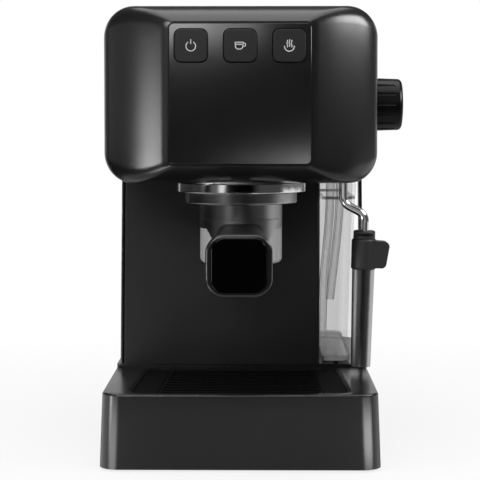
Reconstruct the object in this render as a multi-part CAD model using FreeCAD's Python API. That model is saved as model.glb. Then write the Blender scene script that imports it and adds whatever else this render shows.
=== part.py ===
import FreeCAD, Part
import math
import os

# Small pump espresso machine: tray base, open column with a lift-out tank behind it, overhanging head.
# X runs to the right, Y to the back and Z up from the worktop. All sizes are in millimetres.

vec = FreeCAD.Vector
UP = vec(0, 0, 1)
RIGHT = vec(1, 0, 0)
BACK = vec(0, 1, 0)

# Shared walls and clearances
WALL = 2.6                      # moulded housings
FIT = 0.3                       # between pieces that are assembled and stay
SLIDE_GAP = 0.4                 # between pieces that slide past each other
RUNNING_GAP = 0.08              # round shafts that turn in their bores
SEAT_GAP = 0.1                  # curved pieces that sit on each other
EDGE_MATCH = 0.003              # how near an edge lies to the plane it is picked by

# Overall form
BODY_DEPTH = 265.0              # tray front to the back of the housing
BASE_WIDTH = 181.4              # across the tray rim
BASE_FLARE = 1.9                # spread of each side from the rim down to the worktop
BASE_HEIGHT = 51.0              # worktop to tray rim
BASE_CORNER = 13.0              # upright corners of the base
SKIRT_LIFT = 1.5                # air under the skirt
CUP_BAY_DEPTH = 118.0           # tray front to column front
DECK_STEP = 2.0                 # deck of the rear base above the tray rim
COLUMN_HEIGHT = 134.0           # deck to the underside of the head

# Chassis, feet and rear base
FOOT_HEIGHT = 4.5
FOOT_RADIUS = 8.5
FOOT_EDGE = 1.2
FOOT_STEM = 3.0
FOOT_SIDE = 66.0                # foot centres from the mid-plane
FOOT_FRONT = 26.0               # front feet behind the tray front
FOOT_REAR = 24.0                # rear feet before the back
PLATE_THICK = 3.0
RIB_DEPTH = 2.0
RIB_WIDTH = 2.4
RIB_SPACING = 40.0
RIB_ROWS = (-1, 0, 1)
BOSS_RADIUS = 4.6
BOSS_SIDE = 76.0
BOSS_FRONT = 24.0               # front bosses behind the column front
BOSS_REAR = 42.0                # rear bosses before the back
SCREW_RADIUS = 1.5
SCREW_HEAD = 3.4
SCREW_HEAD_HEIGHT = 2.0
SCREW_LENGTH = 14.0
RUNNER_HEIGHT = 1.6             # ribs on the deck that carry the tank
RUNNER_WIDTH = 3.0
RUNNER_SIDES = (-58.0, 0.0, 69.0)
RUNNER_END = 6.0
WIRE_PORT_WIDTH = 70.0          # opening in the deck below the column
WIRE_PORT_DEPTH = 34.0
GLAND_SIDE = -58.0
GLAND_HEIGHT = 27.0
GLAND_RADIUS = 6.0
GLAND_FLANGE = 9.5
GLAND_FLANGE_THICK = 2.0
GLAND_BORE = 3.7

# Drip tray and grid
TRAY_EDGE = 1.6                 # rounded top edge
TRAY_FLOOR = 2.4
WELL_FRONT_WIDTH = 144.0
WELL_BACK_WIDTH = 136.0
WELL_RIM_FRONT = 7.0            # rim before the well
WELL_RIM_BACK = 7.0
WELL_CORNER = 9.0
LIP_WIDTH = 2.2                 # sloped lip round the well
LIP_DEPTH = 1.4
GRID_SEAT = 4.6                 # ledge below the rim
LEDGE_WIDTH = 3.6
GRID_THICK = 2.8
SLOT_FRONT_WIDTH = 106.0
SLOT_BACK_WIDTH = 100.0
SLOT_DEPTH_SPAN = 84.0
SLOT_COUNT = 9
SLOT_WIDTH = 5.4
SLOT_END = 1.6
GRID_RIB_WIDTH = 2.4
GRID_RIB_DEPTH = 5.0
GRID_RIB_SIDES = (-28.0, 0.0, 28.0)
RIDGE_OUT = 2.4                 # raised line beyond the slot ends
RIDGE_WIDTH = 1.2
RIDGE_HEIGHT = 0.7

# Column
COLUMN_WIDTH = 176.4            # across the side panels at the deck
COLUMN_LEAN = 1.5               # each side panel leans in by this at the head
COLUMN_DEPTH = 72.0             # front panel to partition
COLUMN_RIGHT = 56.5             # right edge of the front panel
COLUMN_SKIN = 2.4
COLUMN_EDGE = 2.2               # rounded right edge
COLUMN_BEND = 1.0               # inside of that bend
SIDE_SKIN = 2.2
SIDE_EDGE = 0.9
SIDE_REAR_STEP = 1.2            # the left panel stops short of the back
POST_DEPTH = 15.0               # right panel, a post before the open side of the tank

# Water tank
TANK_GAP = 1.5                  # air to the walls of its bay
TANK_WALL = 2.2
TANK_FLOOR = 4.0
TANK_DRAFT = 3.6                # outer sides draw in by this towards the floor
TANK_INNER_DRAFT = 0.8
TANK_HEADROOM = 3.0             # rim below the head
TANK_COLLAR = 9.0               # stepped band below the rim
TANK_COLLAR_STEP = 0.7
TANK_CORNER = 11.0
TANK_INNER_CORNER = 4.5
TANK_BEND = 1.6                 # inside corner of the L
NOTCH_WIDTH = 56.0              # finger notch in the rear rim
NOTCH_DEPTH = 7.0
NOTCH_CORNER = 3.0

# Hoses that hang in the tank: outside, bore and routes from the head down
HOSE_RADIUS = 3.3
HOSE_BORE = 2.1
SUCTION_TOP = (76.5, 86.0)
SUCTION_STEPS = ((0.0, 0.0, -22.0), (-2.2, 1.2, -26.0), (-2.8, 1.6, -26.0), (-2.7, 1.8, -24.5))
RETURN_TOP = (68.5, 77.0)
RETURN_STEPS = ((0.0, 0.0, -22.0), (-2.6, 1.0, -32.0), (-3.0, 1.6, -30.0), (-0.4, 1.0, -38.0))
HOSE_TURN_SHARE = 0.45          # of the shorter run beside a turn
BARB_RADIUS = 2.0
BARB_DROP = 2.4
BARB_COLLAR = 5.0
BARB_COLLAR_THICK = 2.4
BARB_RISE = 5.0

# Head
HEAD_WIDTH = 184.6
HEAD_HEIGHT = 118.2
HEAD_CORNER = 21.5
HEAD_SETBACK = 8.0              # panel behind the tray front
NOSE_DEPTH = 42.0               # panel to the full section of the head
NOSE_STATIONS = 6
NOSE_SIDE_POWER = 2.0           # how quickly the bezel swells sideways
NOSE_HEIGHT_POWER = 4.0         # and upwards
NOSE_LIP = 1.0                  # rim of the bezel round the panel
NOSE_LEDGE = 2.0                # ledge behind the panel
PANEL_WIDTH = 92.8
PANEL_HEIGHT = 91.6
PANEL_CORNER = 3.6
PANEL_SINK = 2.6
PANEL_PROUD = 0.8
PANEL_EDGE = 0.6
PANEL_SEAT = 2.4                # width of the ledge that carries the panel
BACK_COVER_DEPTH = 12.0
BACK_COVER_EDGE = 7.0
SPIGOT_DEPTH = 6.0
SPIGOT_WALL = 2.0
VENT_COUNT = 9
VENT_PITCH = 9.0
VENT_WIDTH = 3.2
VENT_HEIGHT = 34.0
VENT_RISE = 66.0                # vent centres above the head floor
CUP_TRAY_WIDTH = 140.0
CUP_TRAY_FRONT = 66.0           # cup tray behind the tray front
CUP_TRAY_REAR = 20.0            # and before the back
CUP_TRAY_CORNER = 12.0
CUP_TRAY_SINK = 1.4
CUP_TRAY_SEAT = 5.0
CUP_RIB_COUNT = 7
CUP_RIB_PITCH = 17.0
CUP_RIB_WIDTH = 4.0
CUP_RIB_HEIGHT = 0.9
CUP_RIB_INSET = 12.0
SHAFT_PORT_WIDTH = 96.0         # opening from the column into the head
SHAFT_PORT_DEPTH = 46.0
SHAFT_PORT_SIDE = -24.0         # its centre from the mid-plane
SHAFT_PORT_INSET = 8.0          # its front edge behind the column front

# Buttons and the board behind them
BUTTON_SIZE = 21.4
BUTTON_CORNER = 4.5
BUTTON_PITCH = 31.9
BUTTON_DROP = 14.6              # button centres below the panel top
BUTTON_GAP = 0.6
BUTTON_PROUD = 0.5
BUTTON_EDGE = 0.7
BUTTON_CAP = 5.0
BUTTON_FLANGE = 1.4
BUTTON_FLANGE_THICK = 1.2
BUTTON_STEM = 2.6
BUTTON_TRAVEL = 2.0
BOARD_DEPTH = 17.0              # board behind the nose lip
BOARD_THICK = 1.6
BOARD_WIDTH = 84.0
BOARD_HEIGHT = 26.0
BOARD_POST = 3.0
BOARD_POST_SIDE = 38.0
BOARD_POST_DROP = 20.0          # posts below the button centres
SWITCH_SIZE = 7.0
SWITCH_HEIGHT = 3.6
SWITCH_PLUNGER = 1.7
SWITCH_PLUNGER_HEIGHT = 1.6

# Brewing group and boiler
GROUP_SETBACK = 68.0            # group axis behind the tray front
GROUP_RADIUS = 42.0
RING_RADIUS = 44.5
RING_HEIGHT = 6.6
RING_EDGE = 0.8
SHELF_RADIUS = 34.2             # inner edge of the bayonet shelf
SHELF_THICK = 3.8
LUG_GROOVE_RADIUS = 39.2
LUG_GROOVE_HEIGHT = 4.4
GASKET_HEIGHT = 3.2
GASKET_INNER = 28.6
CASTING_ROOF = 7.5              # metal above the gasket seat
CHANNEL_RADIUS = 3.0
EAR_WIDTH = 88.0
EAR_FRONT = 38.0
EAR_BACK = 46.0
EAR_CORNER = 9.0
GATE_ANGLE = -50.0              # where the lugs drop out
GATE_WIDTH = 42.0
SCREEN_RADIUS = 27.6
SCREEN_THICK = 1.6
SCREEN_HOLE = 1.4
SCREEN_RINGS = ((11.0, 8), (19.0, 14))
SCREEN_SCREW_HEAD = 5.0
SCREEN_SCREW_THICK = 1.6
FRAME_THICK = 2.0
FRAME_WIDTH = 138.0
FRAME_REAR = 52.0               # behind the group axis
FRAME_CORNER = 8.0
BOILER_RADIUS = 36.0
BOILER_HEIGHT = 58.0
BOILER_DOME = 12.0
BOILER_FLANGE = 52.0
BOILER_FLANGE_THICK = 5.0
BOLT_CIRCLE = 46.5
BOLT_RADIUS = 2.0
BOLT_HEAD = 3.6
BOLT_HEAD_HEIGHT = 3.0
BOLT_HEAD_SIDES = 6
BOLT_ANGLES = (45.0, 135.0, 225.0, 315.0)
TERMINAL_RADIUS = 2.6
TERMINAL_HEIGHT = 13.0
TERMINAL_SIDE = 15.0
THERMOSTAT_RADIUS = 8.0
THERMOSTAT_HEIGHT = 7.0
THERMOSTAT_BACK = 15.0
RELIEF_RADIUS = 6.5
RELIEF_HEIGHT = 20.0
RELIEF_FRONT = -17.0
RELIEF_EDGE = 0.8

# Pump in the column
PUMP_SIDE = -12.0
PUMP_INSET = 36.0               # pump axis behind the column front
PUMP_LIFT = 30.0                # lower spigot above the deck
PUMP_BORE_BODY = 13.0
PUMP_END = 6.0
PUMP_SPIGOT = 3.4
PUMP_SPIGOT_LENGTH = 9.0
PUMP_NECK = 10.0
PUMP_COIL_WIDTH = 46.0
PUMP_COIL_HEIGHT = 44.0
PUMP_COIL_CORNER = 4.0
PUMP_SHOULDER = 6.0             # body above and below the coil
BRACKET_SKIN = 2.0
BRACKET_WIDTH = 40.0
MOUNT_RADIUS = 11.0
MOUNT_LIP = 1.6

# Pipes in the head and column
LINE_RADIUS = 3.0
LINE_BORE = 1.8
LINE_BEND = 10.0
LINE_DIP = 15.0                 # feed line below the pump
FEED_SIDE = -62.0
FEED_RISE = 36.0                # feed line above the head floor
SUCTION_RISE = 26.0
RETURN_RISE = 92.0

# Steam valve and knob
KNOB_SETBACK = 92.5             # knob and wand axis behind the tray front
KNOB_RISE = 53.6                # above the underside of the head
KNOB_RADIUS = 18.5
KNOB_TAPER = 0.7
KNOB_LENGTH = 19.2
KNOB_GAP = 0.9
KNOB_EDGE = 3.2
KNOB_GROOVES = 16
KNOB_GROOVE_RADIUS = 1.5
KNOB_GROOVE_OUT = 0.5           # groove centres outside the knob
KNOB_GROOVE_STOP = 5.2          # plain band at the outer end
KNOB_SKIN = 2.6
KNOB_HUB = 7.0
SPINDLE_RADIUS = 4.0
SPINDLE_REACH = 12.0            # spindle inside the valve
SPINDLE_STOP = 6.0              # spindle ends inside the knob
SPINDLE_BORE_DEPTH = 9.0
NEEDLE_RADIUS = 2.5
NEEDLE_LENGTH = 13.0
NEEDLE_TIP = 2.5
NEEDLE_ENTRY = 5.0              # needle shank inside the spindle
VALVE_RADIUS = 10.0
VALVE_LENGTH = 24.0
VALVE_INSET = 12.0              # valve end inside the head wall
VALVE_NECK = 6.5
VALVE_NECK_LENGTH = 9.0
VALVE_FOOT = 6.5
VALVE_FOOT_LENGTH = 5.0
VALVE_SEAT = 1.4
VALVE_BRACKET_SKIN = 2.0
VALVE_BRACKET_WIDTH = 26.0
VALVE_BRACKET_FOOT = 10.0

# Steam wand
WAND_SIDE = 72.0
WAND_RADIUS = 3.0
WAND_OFFSET = 15.2              # lower run to the right of the swivel
WAND_UPPER_DROP = 16.0          # first bend below the head
WAND_LOWER_DROP = 24.0          # second bend below the head
WAND_BEND = 8.0
WAND_LEAN = 1.5                 # degrees
WAND_END = 68.0                 # pipe end above the worktop
SWIVEL_RADIUS = 7.5
SWIVEL_HEIGHT = 18.0
SWIVEL_GRIP = 14.0              # pipe inside the swivel
COLLAR_RADIUS = 7.7
COLLAR_HEIGHT = 6.0
COLLAR_SLOT = 1.6
GRIP_RADIUS = 8.8
GRIP_TOP = 146.0
GRIP_HEIGHT = 21.6
GRIP_EDGE = 1.4
FIN_REACH = 18.0
FIN_FOOT = 15.2
FIN_THICK = 14.4
FIN_CORNER = 3.4
FIN_DROP = 1.6
SLEEVE_TOP_RADIUS = 7.9
SLEEVE_FOOT_RADIUS = 7.0
SLEEVE_SKIN = 0.8
SLEEVE_FOOT = 55.5
SLEEVE_LAP = 2.0                # band of the nozzle that carries the sleeve
NOZZLE_RADIUS = 5.4
NOZZLE_FOOT = 61.0
NOZZLE_BORE = 1.2

# Portafilter
LUG_RADIUS = 38.7
LUG_THICK = 3.6
LUG_ANGLE = 36.0
NECK_RADIUS = 33.6
RIM_RADIUS = 38.5
RIM_HEIGHT = 7.4
RIM_EDGE = 1.2
RIM_NOTCH_ANGLE = 206.0
RIM_NOTCH_WIDTH = 1.6
RIM_NOTCH_DEPTH = 2.0
BOWL_RADIUS = 28.4
BOWL_HEIGHT = 17.0
BOWL_BORE = 30.2
BOWL_FLOOR = 5.0
DRAIN_RADIUS = 4.0
SOCKET_RADIUS = 25.6
SOCKET_HEIGHT = 16.0
BASKET_RADIUS = 29.8
BASKET_SKIN = 0.8
BASKET_RIM = 32.4
BASKET_DEPTH = 21.0
BASKET_DRAFT = 1.2
CUP_RADIUS = 28.2
CUP_HEIGHT = 24.2
CUP_SKIN = 1.6
CUP_EDGE = 3.6
SPOUT_SIDE = 9.0
SPOUT_RADIUS = 5.6
SPOUT_BORE = 3.6
SPOUT_DROP = 18.0
SPOUT_CUT = 35.0                # degrees of the slanted spout ends
APRON_SKIN = 1.2
APRON_TOP = 27.0
APRON_KNEE = 19.5
APRON_FOOT = 13.0
APRON_KNEE_DROP = 6.5
APRON_DROP = 21.0

# Handle
HANDLE_LENGTH = 127.0           # from the group axis
HANDLE_ROOT_WIDTH = 33.0
HANDLE_ROOT_HEIGHT = 25.0
HANDLE_ROOT_Z = 147.2
HANDLE_WAIST_WIDTH = 30.6
HANDLE_WAIST_HEIGHT = 24.6
HANDLE_WAIST_REACH = 48.0
HANDLE_MID_REACH = 86.0
HANDLE_MID_WIDTH = 34.6
HANDLE_MID_HEIGHT = 30.4
HANDLE_MID_Z = 144.2
HANDLE_END_WIDTH = 41.2
HANDLE_END_HEIGHT = 38.4
HANDLE_END_Z = 140.0
HANDLE_END_BAND = 4.0
HANDLE_ROUND = 0.3              # corner radius as a share of the section's height
HANDLE_EDGE = 2.0
CAP_WIDTH = 34.0
CAP_HEIGHT = 34.4
CAP_CORNER = 8.5
CAP_SINK = 2.2
CAP_PROUD = 0.6
CAP_EDGE = 0.7

# Places worked out from the sizes above
Y_FRONT = -BODY_DEPTH / 2
Y_BACK = BODY_DEPTH / 2
Y_COLUMN = Y_FRONT + CUP_BAY_DEPTH
Y_PARTITION = Y_COLUMN + COLUMN_DEPTH
Y_NOSE = Y_FRONT + HEAD_SETBACK
Y_NOSE_END = Y_NOSE + NOSE_DEPTH
Y_SHELL_BACK = Y_BACK - BACK_COVER_DEPTH
Y_GROUP = Y_FRONT + GROUP_SETBACK
Y_KNOB = Y_FRONT + KNOB_SETBACK
Y_PUMP = Y_COLUMN + PUMP_INSET
Y_BOARD = Y_NOSE + BOARD_DEPTH
Z_PLATE = FOOT_HEIGHT + PLATE_THICK
Z_TRAY_UNDER = Z_PLATE + SLIDE_GAP
Z_LEDGE = BASE_HEIGHT - GRID_SEAT
Z_DECK = BASE_HEIGHT + DECK_STEP
Z_HEAD = Z_DECK + COLUMN_HEIGHT
Z_HEAD_MID = Z_HEAD + HEAD_HEIGHT / 2
Z_TOP = Z_HEAD + HEAD_HEIGHT
Z_FLOOR = Z_HEAD + WALL
Z_FRAME = Z_FLOOR + FRAME_THICK
Z_BUTTON = Z_HEAD_MID + PANEL_HEIGHT / 2 - BUTTON_DROP
Z_KNOB = Z_HEAD + KNOB_RISE
Z_GROUP = Z_HEAD - RING_HEIGHT
Z_GROOVE = Z_GROUP + SHELF_THICK
Z_GASKET = Z_GROOVE + LUG_GROOVE_HEIGHT
Z_CEILING = Z_GASKET + GASKET_HEIGHT + FIT
Z_BOILER = Z_CEILING + CASTING_ROOF
Z_PUMP = Z_DECK + PUMP_LIFT
Z_TANK = Z_DECK + RUNNER_HEIGHT + SLIDE_GAP
Z_TANK_TOP = Z_HEAD - TANK_HEADROOM
Z_RIM_TOP = Z_GROUP - FIT
Z_RIM = Z_RIM_TOP - RIM_HEIGHT
Z_BOWL = Z_RIM - BOWL_HEIGHT
Z_FILTER_TOP = Z_GASKET - SLIDE_GAP
Z_CUP = Z_BOWL - CUP_HEIGHT
X_WAND = WAND_SIDE + WAND_OFFSET
Z_WAND_BEND = Z_HEAD - WAND_LOWER_DROP


def on_level(z):
    """Maps a flat outline to the horizontal plane at height z."""
    return lambda a, b: vec(a, b, z)


def across_y(y):
    """Maps a flat outline of (x, z) to the upright plane at depth y."""
    return lambda a, b: vec(a, y, b)


def outline(corners, place):
    """Closed wire through (a, b, radius) corners, each rounded by a tangent arc."""
    rounded = []
    for i, (a, b, radius) in enumerate(corners):
        here = vec(a, b, 0)
        last = vec(corners[i - 1][0], corners[i - 1][1], 0)
        following = corners[(i + 1) % len(corners)]
        to_last = (last - here).normalize()
        to_next = (vec(following[0], following[1], 0) - here).normalize()
        if radius <= 0:
            rounded.append((here, here, here))
            continue
        half = to_last.getAngle(to_next) / 2
        reach = radius / math.tan(half)
        inward = (to_last + to_next).normalize()
        middle = here + inward * (radius / math.sin(half) - radius)
        rounded.append((here + to_last * reach, middle, here + to_next * reach))
    edges = []
    for i, (start, middle, end) in enumerate(rounded):
        if start != end:
            points = [place(p.x, p.y) for p in (start, middle, end)]
            edges.append(Part.Arc(*points).toShape())
        onward = rounded[(i + 1) % len(rounded)][0]
        edges.append(Part.LineSegment(place(end.x, end.y), place(onward.x, onward.y)).toShape())
    return Part.Wire(edges)


def rectangle(a0, a1, b0, b1, radius=0.0):
    """Corners of a rectangle with one radius."""
    return [(a0, b0, radius), (a1, b0, radius), (a1, b1, radius), (a0, b1, radius)]


def slab(corners, z0, z1):
    """Upright prism over a plan outline."""
    return Part.Face(outline(corners, on_level(z0))).extrude(UP * (z1 - z0))


def slab_y(corners, y0, y1):
    """Prism along Y over an outline of (x, z)."""
    return Part.Face(outline(corners, across_y(y0))).extrude(BACK * (y1 - y0))


def box(x0, x1, y0, y1, z0, z1):
    """Plain block between two corners."""
    return Part.makeBox(x1 - x0, y1 - y0, z1 - z0, vec(x0, y0, z0))


def rod(radius, start, direction, length):
    """Plain cylinder from a start point along a direction."""
    return Part.makeCylinder(radius, length, start, direction)


def turned(profile, foot=vec(0, 0, 0), axis=UP):
    """Body of revolution from (radius, height, rounding) corners, stood on foot along an axis."""
    face = Part.Face(outline(profile, across_y(0)))
    shape = face.revolve(vec(0, 0, 0), UP, 360)
    shape.Placement = FreeCAD.Placement(foot, FreeCAD.Rotation(UP, axis))
    return shape


def loft(wires, ruled):
    """Solid skinned over a row of closed wires."""
    return Part.makeLoft(wires, True, ruled)


def join(first, *others):
    """One solid from touching solids, with the seams cleaned off."""
    return first.fuse(list(others)).removeSplitter()


def cut(first, *others):
    """A solid less the others."""
    return first.cut(list(others))


def rounded_edges(shape, radius, wanted):
    """Fillets the edges for which wanted(edge) is true."""
    return shape.makeFillet(radius, [e for e in shape.Edges if wanted(e)])


def lies_at_z(z):
    """True for edges that lie wholly at height z."""
    return lambda e: max(abs(e.BoundBox.ZMin - z), abs(e.BoundBox.ZMax - z)) < EDGE_MATCH


def lies_at_y(y):
    """True for edges that lie wholly at depth y."""
    return lambda e: max(abs(e.BoundBox.YMin - y), abs(e.BoundBox.YMax - y)) < EDGE_MATCH


def bent_path(points, radius_at):
    """Wire of straight runs joined by tangent arcs, with the radius at each inner point."""
    edges = []
    start = points[0]
    for last, here, following in zip(points, points[1:], points[2:]):
        back = (last - here).normalize()
        ahead = (following - here).normalize()
        half = back.getAngle(ahead) / 2
        radius = radius_at(last, here, following, half)
        reach = radius / math.tan(half)
        inward = (back + ahead).normalize()
        middle = here + inward * (radius / math.sin(half) - radius)
        edges.append(Part.LineSegment(start, here + back * reach).toShape())
        edges.append(Part.Arc(here + back * reach, middle, here + ahead * reach).toShape())
        start = here + ahead * reach
    edges.append(Part.LineSegment(start, points[-1]).toShape())
    return Part.Wire(edges)


def swept(path, points, radius):
    """Round bar along a path."""
    circle = Part.Circle(points[0], points[1] - points[0], radius).toShape()
    return path.makePipeShell([Part.Wire([circle])], True, False)


def pipe(points, radius, bore, bend):
    """Tube bent at one radius."""
    path = bent_path(points, lambda last, here, following, half: bend)
    return cut(swept(path, points, radius), swept(path, points, bore))


def hose(name, points):
    """Limp tube whose turns are as wide as their runs allow; prints its radii and length."""
    radii = []

    def widest(last, here, following, half):
        run = min((last - here).Length, (following - here).Length)
        radii.append(HOSE_TURN_SHARE * run * math.tan(half))
        return radii[-1]

    path = bent_path(points, widest)
    solid = cut(swept(path, points, HOSE_RADIUS), swept(path, points, HOSE_BORE))
    section = math.pi * (HOSE_RADIUS ** 2 - HOSE_BORE ** 2)
    print(name, "length %.1f" % path.Length, "volume / (section x length) %.4f" % (
        solid.Volume / section / path.Length), "turn radii", ["%.0f" % r for r in radii])
    return solid


def ring_sector(inner, outer, z0, z1, angle, width):
    """Part of an upright ring about the group axis, centred on an angle."""
    shape = Part.makeCylinder(outer, z1 - z0, vec(0, 0, z0), UP, width)
    shape = shape.cut(Part.makeCylinder(inner, z1 - z0, vec(0, 0, z0), UP))
    shape.rotate(vec(0, 0, 0), UP, angle - width / 2)
    shape.translate(vec(0, Y_GROUP, 0))
    return shape


def base_half(z):
    """Half the width of the flared base at height z."""
    return BASE_WIDTH / 2 + BASE_FLARE * (BASE_HEIGHT - z) / BASE_HEIGHT


def flared(z0, z1, y0, y1, front_corner, back_corner, inset=0.0):
    """Flared block of the base between two depths, shrunk by an inset."""
    wires = []
    for z in (z0, z1):
        half = base_half(z) - inset
        front = (y0 + inset, max(front_corner - inset, SIDE_EDGE))
        back = (y1 - inset, max(back_corner - inset, SIDE_EDGE))
        wires.append(outline([(-half, *front), (half, *front), (half, *back), (-half, *back)], on_level(z)))
    return loft(wires, True)


def plate_corners():
    """Plan of the chassis plate, inside the skirts."""
    half = BASE_WIDTH / 2 - WALL - 2 * SLIDE_GAP
    inset = WALL + 2 * SLIDE_GAP
    return rectangle(-half, half, Y_FRONT + inset, Y_BACK - inset, BASE_CORNER - inset)


def foot_places():
    """Plan centres of the feet: one in the middle and one near each corner."""
    corners = [(side * FOOT_SIDE, y) for y in (Y_FRONT + FOOT_FRONT, Y_BACK - FOOT_REAR) for side in (-1, 1)]
    return [(0.0, 0.0)] + corners


def boss_places():
    """Plan centres of the four screw bosses of the rear base."""
    return [(side * BOSS_SIDE, y) for y in (Y_COLUMN + BOSS_FRONT, Y_BACK - BOSS_REAR) for side in (-1, 1)]


def chassis_plate():
    plate = slab(plate_corners(), FOOT_HEIGHT, Z_PLATE)
    half = FOOT_SIDE - FOOT_RADIUS - RIB_WIDTH
    ribs = []
    for row in RIB_ROWS:
        x = row * RIB_SPACING
        ribs.append(box(x - RIB_WIDTH / 2, x + RIB_WIDTH / 2, Y_FRONT + FOOT_FRONT, Y_BACK - FOOT_REAR,
                        FOOT_HEIGHT - RIB_DEPTH, FOOT_HEIGHT))
        ribs.append(box(-half, half, x - RIB_WIDTH / 2, x + RIB_WIDTH / 2,
                        FOOT_HEIGHT - RIB_DEPTH, FOOT_HEIGHT))
    holes = [rod(FOOT_STEM, vec(x, y, 0), UP, Z_DECK) for x, y in foot_places()]
    holes += [rod(FOOT_RADIUS + FIT, vec(x, y, 0), UP, FOOT_HEIGHT) for x, y in foot_places()]
    holes += [rod(SCREW_RADIUS + SEAT_GAP, vec(x, y, 0), UP, Z_DECK) for x, y in boss_places()]
    return cut(join(plate, *ribs), *holes)


def feet():
    solids = []
    for x, y in foot_places():
        stem = FOOT_STEM - SEAT_GAP
        profile = [(0, 0, 0), (FOOT_RADIUS, 0, FOOT_EDGE), (FOOT_RADIUS, FOOT_HEIGHT, 0),
                   (stem, FOOT_HEIGHT, 0), (stem, Z_PLATE, 0), (0, Z_PLATE, 0)]
        solids.append(turned(profile, vec(x, y, 0)))
    return Part.makeCompound(solids)


def rear_base():
    outer = flared(SKIRT_LIFT, Z_DECK, Y_COLUMN, Y_BACK, SIDE_EDGE, BASE_CORNER)
    inner = flared(0, Z_DECK - WALL, Y_COLUMN, Y_BACK, SIDE_EDGE, BASE_CORNER, WALL)
    half = BASE_WIDTH / 2 - WALL - SLIDE_GAP
    under = box(-half, half, Y_COLUMN - WALL, Y_COLUMN + 2 * WALL, 0, Z_PLATE + SLIDE_GAP)
    port = slab(rectangle(PUMP_SIDE - WIRE_PORT_WIDTH / 2, PUMP_SIDE + WIRE_PORT_WIDTH / 2,
                          Y_PUMP - WIRE_PORT_DEPTH / 2, Y_PUMP + WIRE_PORT_DEPTH / 2, BOSS_RADIUS),
                Z_DECK - 2 * WALL, Z_DECK + WALL)
    gland = rod(GLAND_RADIUS + SEAT_GAP, vec(GLAND_SIDE, Y_BACK - 2 * WALL, GLAND_HEIGHT), BACK, 3 * WALL)
    shell = cut(outer, inner, under, port, gland)
    bosses = [rod(BOSS_RADIUS, vec(x, y, Z_PLATE), UP, Z_DECK - WALL / 2 - Z_PLATE) for x, y in boss_places()]
    runners = []
    for x in RUNNER_SIDES:
        y0 = Y_COLUMN + RUNNER_END if x > COLUMN_RIGHT else Y_PARTITION + COLUMN_SKIN + RUNNER_END
        runners.append(slab(rectangle(x - RUNNER_WIDTH / 2, x + RUNNER_WIDTH / 2, y0, Y_BACK - RUNNER_END,
                                      RUNNER_WIDTH / 3), Z_DECK, Z_DECK + RUNNER_HEIGHT))
    pilots = [rod(SCREW_RADIUS, vec(x, y, 0), UP, FOOT_HEIGHT + SCREW_LENGTH) for x, y in boss_places()]
    return cut(join(shell, *bosses, *runners), *pilots)


def chassis_screws():
    solids = []
    for x, y in boss_places():
        shank = SCREW_RADIUS - SEAT_GAP
        tip = SCREW_LENGTH - FIT
        profile = [(0, -SCREW_HEAD_HEIGHT, 0), (SCREW_HEAD, -SCREW_HEAD_HEIGHT, SCREW_HEAD_HEIGHT / 2),
                   (SCREW_HEAD, 0, 0), (shank, 0, 0), (shank, tip, 0), (0, tip, 0)]
        solids.append(turned(profile, vec(x, y, FOOT_HEIGHT)))
    return Part.makeCompound(solids)


def cord_gland():
    profile = [(GLAND_BORE, -2 * WALL, 0), (GLAND_RADIUS, -2 * WALL, 0), (GLAND_RADIUS, 0, 0),
               (GLAND_FLANGE, 0, 0), (GLAND_FLANGE, GLAND_FLANGE_THICK, GLAND_FLANGE_THICK / 2),
               (GLAND_BORE, GLAND_FLANGE_THICK, 0)]
    return turned(profile, vec(GLAND_SIDE, Y_BACK, GLAND_HEIGHT), BACK)


def well_corners(grow):
    """Plan of the tray's well, grown or shrunk evenly."""
    front = WELL_FRONT_WIDTH / 2 + grow
    back = WELL_BACK_WIDTH / 2 + grow
    y0 = Y_FRONT + WELL_RIM_FRONT - grow
    y1 = Y_COLUMN - SLIDE_GAP - WELL_RIM_BACK + grow
    radius = WELL_CORNER + grow
    return [(-front, y0, radius), (front, y0, radius), (back, y1, radius), (-back, y1, radius)]


def drip_tray():
    y_back = Y_COLUMN - SLIDE_GAP
    outer = flared(SKIRT_LIFT, BASE_HEIGHT, Y_FRONT, y_back, BASE_CORNER, TRAY_EDGE)
    outer = rounded_edges(outer, TRAY_EDGE, lies_at_z(BASE_HEIGHT))
    hollow = flared(0, BASE_HEIGHT - WALL, Y_FRONT, y_back, BASE_CORNER, TRAY_EDGE, WALL)
    upper_wall = slab(well_corners(WALL), Z_LEDGE - WALL, BASE_HEIGHT)
    lower_wall = slab(well_corners(WALL - LEDGE_WIDTH), Z_TRAY_UNDER, BASE_HEIGHT)
    hollow = cut(hollow, upper_wall, lower_wall)
    lip = loft([outline(well_corners(0), on_level(BASE_HEIGHT - LIP_DEPTH)),
                outline(well_corners(LIP_WIDTH), on_level(BASE_HEIGHT))], True)
    seat = slab(well_corners(0), Z_LEDGE, BASE_HEIGHT)
    well = slab(well_corners(-LEDGE_WIDTH), Z_TRAY_UNDER + TRAY_FLOOR, BASE_HEIGHT)
    half = BASE_WIDTH / 2 - WALL - SLIDE_GAP
    under = box(-half, half, y_back - 2 * WALL, y_back + WALL, 0, Z_TRAY_UNDER)
    return cut(outer, hollow, lip, seat, well, under)


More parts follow.
